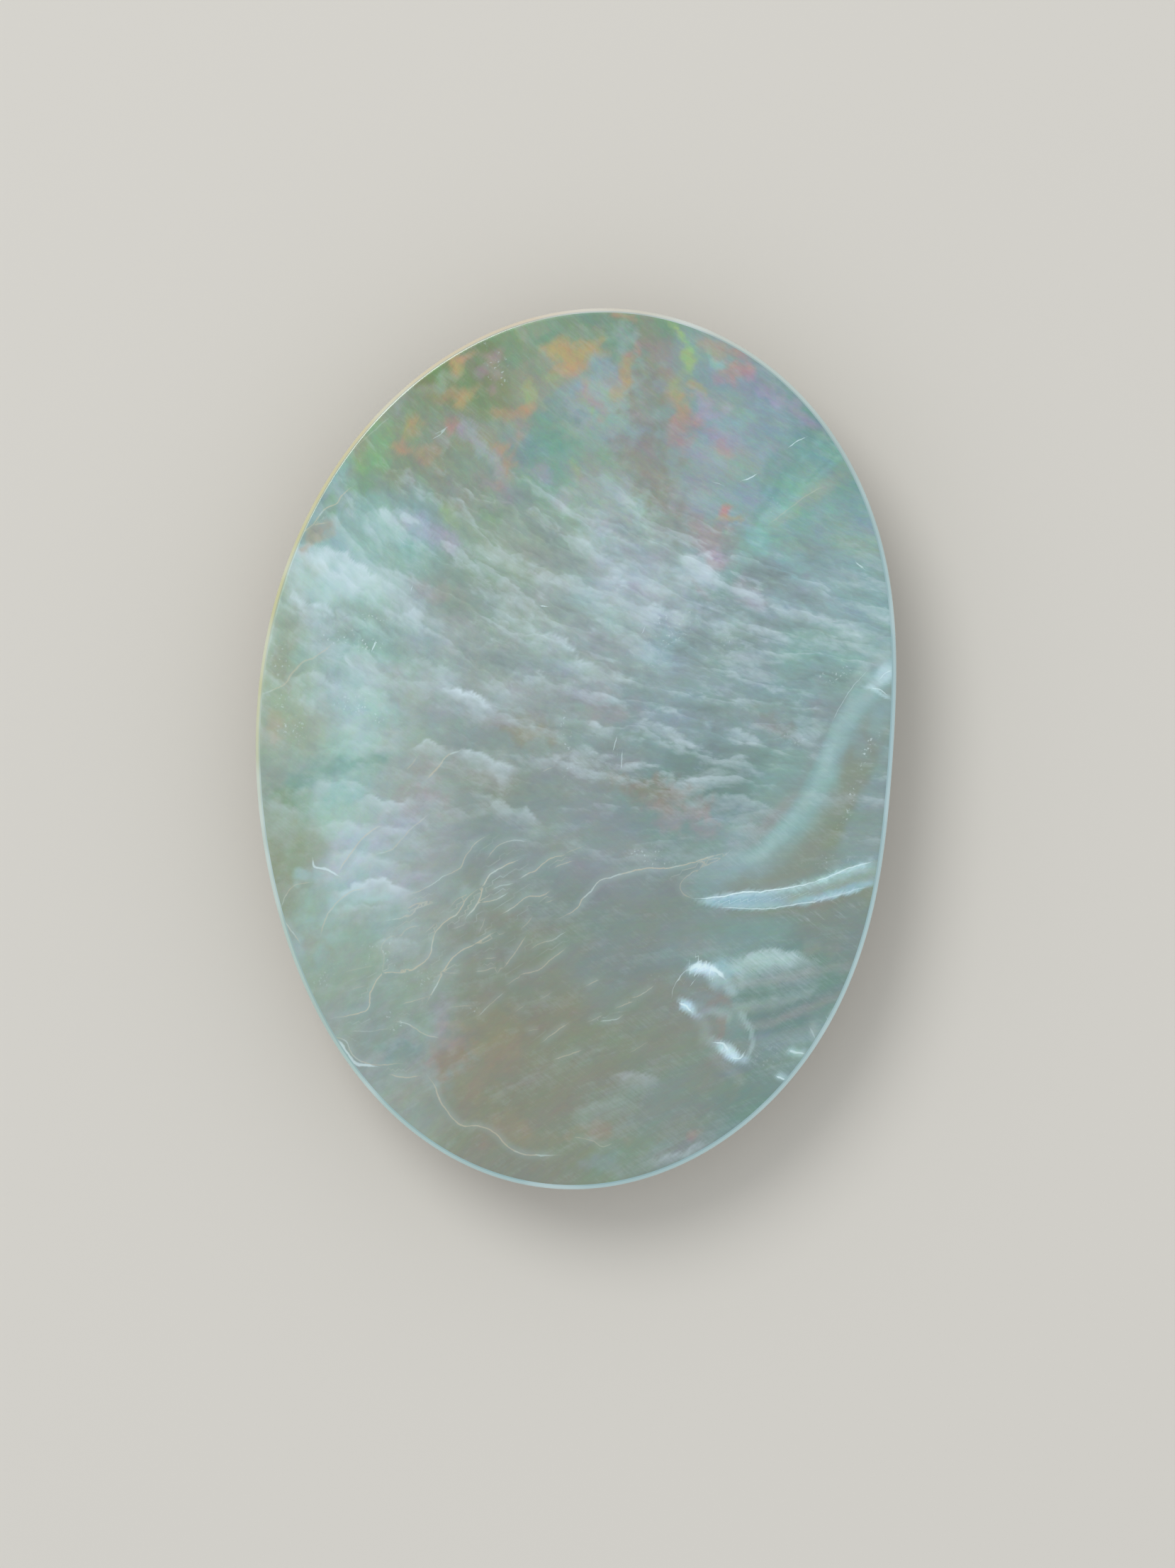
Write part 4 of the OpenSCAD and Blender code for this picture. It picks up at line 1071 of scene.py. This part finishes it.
def wire_path():
    """The wire's centre line in the XZ plane, from the end of one foot to the end of the other."""
    end_x = EYE_HIGH[0] - HAIR
    bend_x = LEG_X + BEND_R
    foot = [(px, FOOT_Z) for px in np.linspace(end_x, bend_x, FOOT_STEPS)[:-1]]
    quarter = np.radians(np.linspace(90, 180, BEND_STEPS))
    bend = [(bend_x + BEND_R * math.cos(a), FOOT_Z - BEND_R + BEND_R * math.sin(a)) for a in quarter]
    eye_z = EYE_LOW[2] + WIRE_R + LEG_X
    leg = [(LEG_X, z) for z in np.linspace(FOOT_Z - BEND_R, eye_z, LEG_STEPS)[1:-1]]
    half = np.radians(np.linspace(0, -90, ARC_STEPS))
    arc = [(LEG_X * math.cos(a), eye_z + LEG_X * math.sin(a)) for a in half]
    one_side = foot + bend + leg + arc
    return np.array(one_side + [(-px, pz) for px, pz in reversed(one_side[:-1])])


def wire_eye():
    path = wire_path()
    tangent = np.gradient(path, axis=0)
    tangent /= np.linalg.norm(tangent, axis=1, keepdims=True)
    run = np.concatenate([[0], np.cumsum(np.linalg.norm(np.diff(path, axis=0), axis=1))])
    around = np.radians(np.arange(0, 360, WIRE_FACET))
    radius = WIRE_R - HAIR
    rings, drawn = [], []
    for (px, pz), (tx, tz), distance in zip(path, tangent, run):
        rings.append([(px - tz * radius * math.cos(a), radius * math.sin(a), pz + tx * radius * math.cos(a))
                      for a in around])
        drawn.extend((distance, WIRE_R * a, 0) for a in around)
    for ring, (_, pz) in ((rings[0], path[0]), (rings[-1], path[-1])):
        ring[:] = [(rx, CUT_END * ry, pz + CUT_END * (rz - pz)) for rx, ry, rz in ring]
    piece = add_piece("wire_eye_drawn", [q for ring in rings for q in ring], bridge(rings, False),
                      "wire_eye", wire_material())
    add_field(piece.data, "drawn", drawn, "FLOAT_VECTOR")


def solder_fillets():
    """A smooth collar of solder on the plate around each leg, hollowed as it flowed."""
    plate_z = SOLDER_HIGH[2]
    points, faces = [], []
    for side in (-1, 1):
        rings = []
        for level in range(COLLAR_LEVELS + 1):
            rise = math.radians(90 * min(level, COLLAR_LEVELS - 1) / (COLLAR_LEVELS - 1))
            ring = []
            for k in range(COLLAR_STEPS):
                turn = 2 * math.pi * k / COLLAR_STEPS
                # The collar's width varies a little around the leg.
                width = SOLDER_WIDTH * (0.94 + 0.04 * math.sin(2 * turn + side) + 0.02 * math.sin(5 * turn))
                radius = WIRE_R + width * (1 - math.cos(rise)) if level < COLLAR_LEVELS else WIRE_R
                z = plate_z - width * (1 - math.sin(rise)) if level < COLLAR_LEVELS else plate_z
                ring.append((side * LEG_X + radius * math.cos(turn), radius * math.sin(turn), z))
            rings.append(ring)
        offset = len(points)
        points += [q for ring in rings for q in ring]
        faces += [tuple(offset + i for i in face) for face in bridge(rings, True)]
    add_piece("solder_fillets", points, faces, "solder_rings", solder_material())


def cylinder_cutter(px, radius, low, high, steps=48):
    turns = [2 * math.pi * k / steps for k in range(steps)]
    rings = [[(px + radius * math.cos(t), radius * math.sin(t), z) for t in turns] for z in (low, high)]
    mesh = bpy.data.meshes.new("cutter")
    mesh.from_pydata((np.array(rings).reshape(-1, 3) * MM).tolist(), [], bridge(rings, False))
    cutter = bpy.data.objects.new("cutter", mesh)
    bpy.context.scene.collection.objects.link(cutter)
    return cutter


def shank_plate():
    """A stamped disc with a rolled edge and a raised ring, drilled for the legs."""
    low, high, radius = PLATE_LOW[2], PLATE_HIGH[2], PLATE_HIGH[0] - HAIR
    corner = np.radians(np.linspace(0, 90, 8))
    profile = [(r, low + rise) for r, rise in PLATE_SIDE] + [(radius - PLATE_ROLL - 0.12, low + 0.05)]
    profile += [(radius - PLATE_ROLL * (1 - math.sin(a)), low + ROLL_START + PLATE_ROLL * (1 - math.cos(a)))
                for a in corner]
    profile += [(radius, high - 0.08), (radius - 0.06, high)] + [(r, high) for r in PLATE_INSIDE]
    turns = [2 * math.pi * k / PLATE_STEPS for k in range(PLATE_STEPS)]
    rings = [[(r * math.cos(t), r * math.sin(t), z) for t in turns] for r, z in profile]
    plate = add_piece("shank_plate_stamped", [q for ring in rings for q in ring], bridge(rings, False),
                      "shank_plate", plate_material())
    for side in (-1, 1):
        cutter = cylinder_cutter(side * LEG_X, WIRE_R + HOLE_CLEARANCE / 2, low - 1, high + 1)
        cut = plate.modifiers.new("hole", "BOOLEAN")
        cut.object = cutter
        cut.solver = "EXACT"
        plate.data = bake_modifiers(plate)
        plate.modifiers.clear()
        bpy.data.objects.remove(cutter)
    plate.data.name = "shank_plate_stamped"


def bake_modifiers(piece):
    graph = bpy.context.evaluated_depsgraph_get()
    graph.update()
    return bpy.data.meshes.new_from_object(piece.evaluated_get(graph))


def wire_material():
    """Drawn brass: fine lines along the wire, patches of brown, and an end rubbed bright by the thread."""
    g = Graph("drawn_brass")
    place = g.place()
    lines = g.noise(g.stretch(g.attribute("drawn", "Vector"), (0.06, 1.0, 1.0)), 0.07, 4, 0.7)
    tarnish = g.noise(place, 1.1, 5, 0.62)
    low = g.step(g.split(place)["Z"], 1.1, 0.2)
    colour = g.mix(g.step(tarnish, 0.4, 0.68), linear("#c8a052"), linear("#8a6a35"))
    colour = g.cover(colour, low, 0.7, linear("#dcbb6f"))
    colour = g.cover(colour, g.step(lines, 0.55, 0.72), 0.35, linear("#7a5c2e"))
    rough = g.sum(g.step(tarnish, 0.35, 0.7, 0.22, 0.42), (low, -0.06))
    return g.finish(Base_Color=colour, Roughness=rough, Metallic=1.0, Normal=g.bump(lines, 0.02 * MM, 0.5))


def plate_material():
    """Stamped brass: turned rings, a mottled patina, dark specks, and a raised ring rubbed bright."""
    g = Graph("stamped_brass")
    place = g.place()
    height = g.split(place)["Z"]
    reach = g.vector("LENGTH", g.stretch(place, (1.0, 1.0, 0.0)))
    turned = g.add("CombineXYZ", X=reach, Z=g.times(height, 0.5)).outputs["Vector"]
    rings = g.noise(turned, 0.06, 3, 0.7)
    patina = g.noise(place, 1.8, 6, 0.65)
    high = g.step(height, PLATE_LOW[2] + 0.05, PLATE_LOW[2] + 0.01)
    colour = g.mix(g.step(patina, 0.38, 0.66), linear("#bd9549"), linear("#7d6133"))
    colour = g.cover(colour, g.step(g.spots(place, 2.2)["Distance"], 0.14, 0.05), 0.5, linear("#59472a"))
    colour = g.cover(colour, high, 0.6, linear("#d6b368"))
    colour = g.cover(colour, g.step(rings, 0.5, 0.7), 0.3, linear("#cfae66"))
    rough = g.step(patina, 0.35, 0.7, 0.27, 0.5)
    return g.finish(Base_Color=colour, Roughness=rough, Metallic=1.0, Normal=g.bump(rings, 0.02 * MM, 0.6))


def solder_material():
    """Dull tin solder, frosted where it froze last and flecked with flux."""
    g = Graph("tin_solder")
    place = g.place()
    frost = g.noise(place, 0.35, 5, 0.65)
    flux = g.noise(place, 0.8, 4, 0.6)
    colour = g.mix(g.step(frost, 0.35, 0.7), linear("#8f8e88"), linear("#c3c1b8"))
    colour = g.cover(colour, g.step(flux, 0.58, 0.72), 0.6, linear("#7a6238"))
    return g.finish(Base_Color=colour, Roughness=g.step(frost, 0.3, 0.7, 0.3, 0.55), Metallic=0.85,
                    Normal=g.bump(frost, 0.03 * MM, 0.6))


def cement_material():
    """Amber cement, cloudy with shell dust and a few trapped bubbles."""
    g = Graph("amber_cement")
    place = g.place()
    cloud = g.noise(place, 0.9, 5, 0.6)
    bubbles = g.spots(place, 3.0)["Distance"]
    colour = g.mix(g.step(cloud, 0.35, 0.68), linear("#b99a5c"), linear("#dccfa4"))
    colour = g.cover(colour, g.step(bubbles, 0.12, 0.04), 0.6, linear("#8a6c38"))
    height = g.plus(g.times(cloud, 0.8), g.step(bubbles, 0.1, 0.03))
    return g.finish(Base_Color=colour, Roughness=g.step(cloud, 0.3, 0.7, 0.25, 0.45),
                    Normal=g.bump(height, 0.05 * MM, 0.6), Coat_Weight=0.4, Coat_Roughness=0.15)


def make_floor():
    mesh = bpy.data.meshes.new("floor")
    h = FLOOR_HALF
    mesh.from_pydata([(-h, -h, 0), (h, -h, 0), (h, h, 0), (-h, h, 0)], [], [(0, 1, 2, 3)])
    g = Graph("floor_paper")
    mesh.materials.append(g.finish(Base_Color=linear("#dedcd6"), Roughness=0.9))
    floor = bpy.data.objects.new("floor", mesh)
    bpy.context.scene.collection.objects.link(floor)


bpy.context.scene.view_settings.view_transform = "Standard"
make_camera()
make_world(WHITE, SKY_STRENGTH)
make_light("key", KEY_PLACE, KEY_SIZE, KEY_POWER, KEY_COLOUR)
make_floor()
pearl_slab()
wire_eye()
solder_fillets()
shank_plate()
bpy.data.objects["bonding_cement"].data.materials[0] = cement_material()
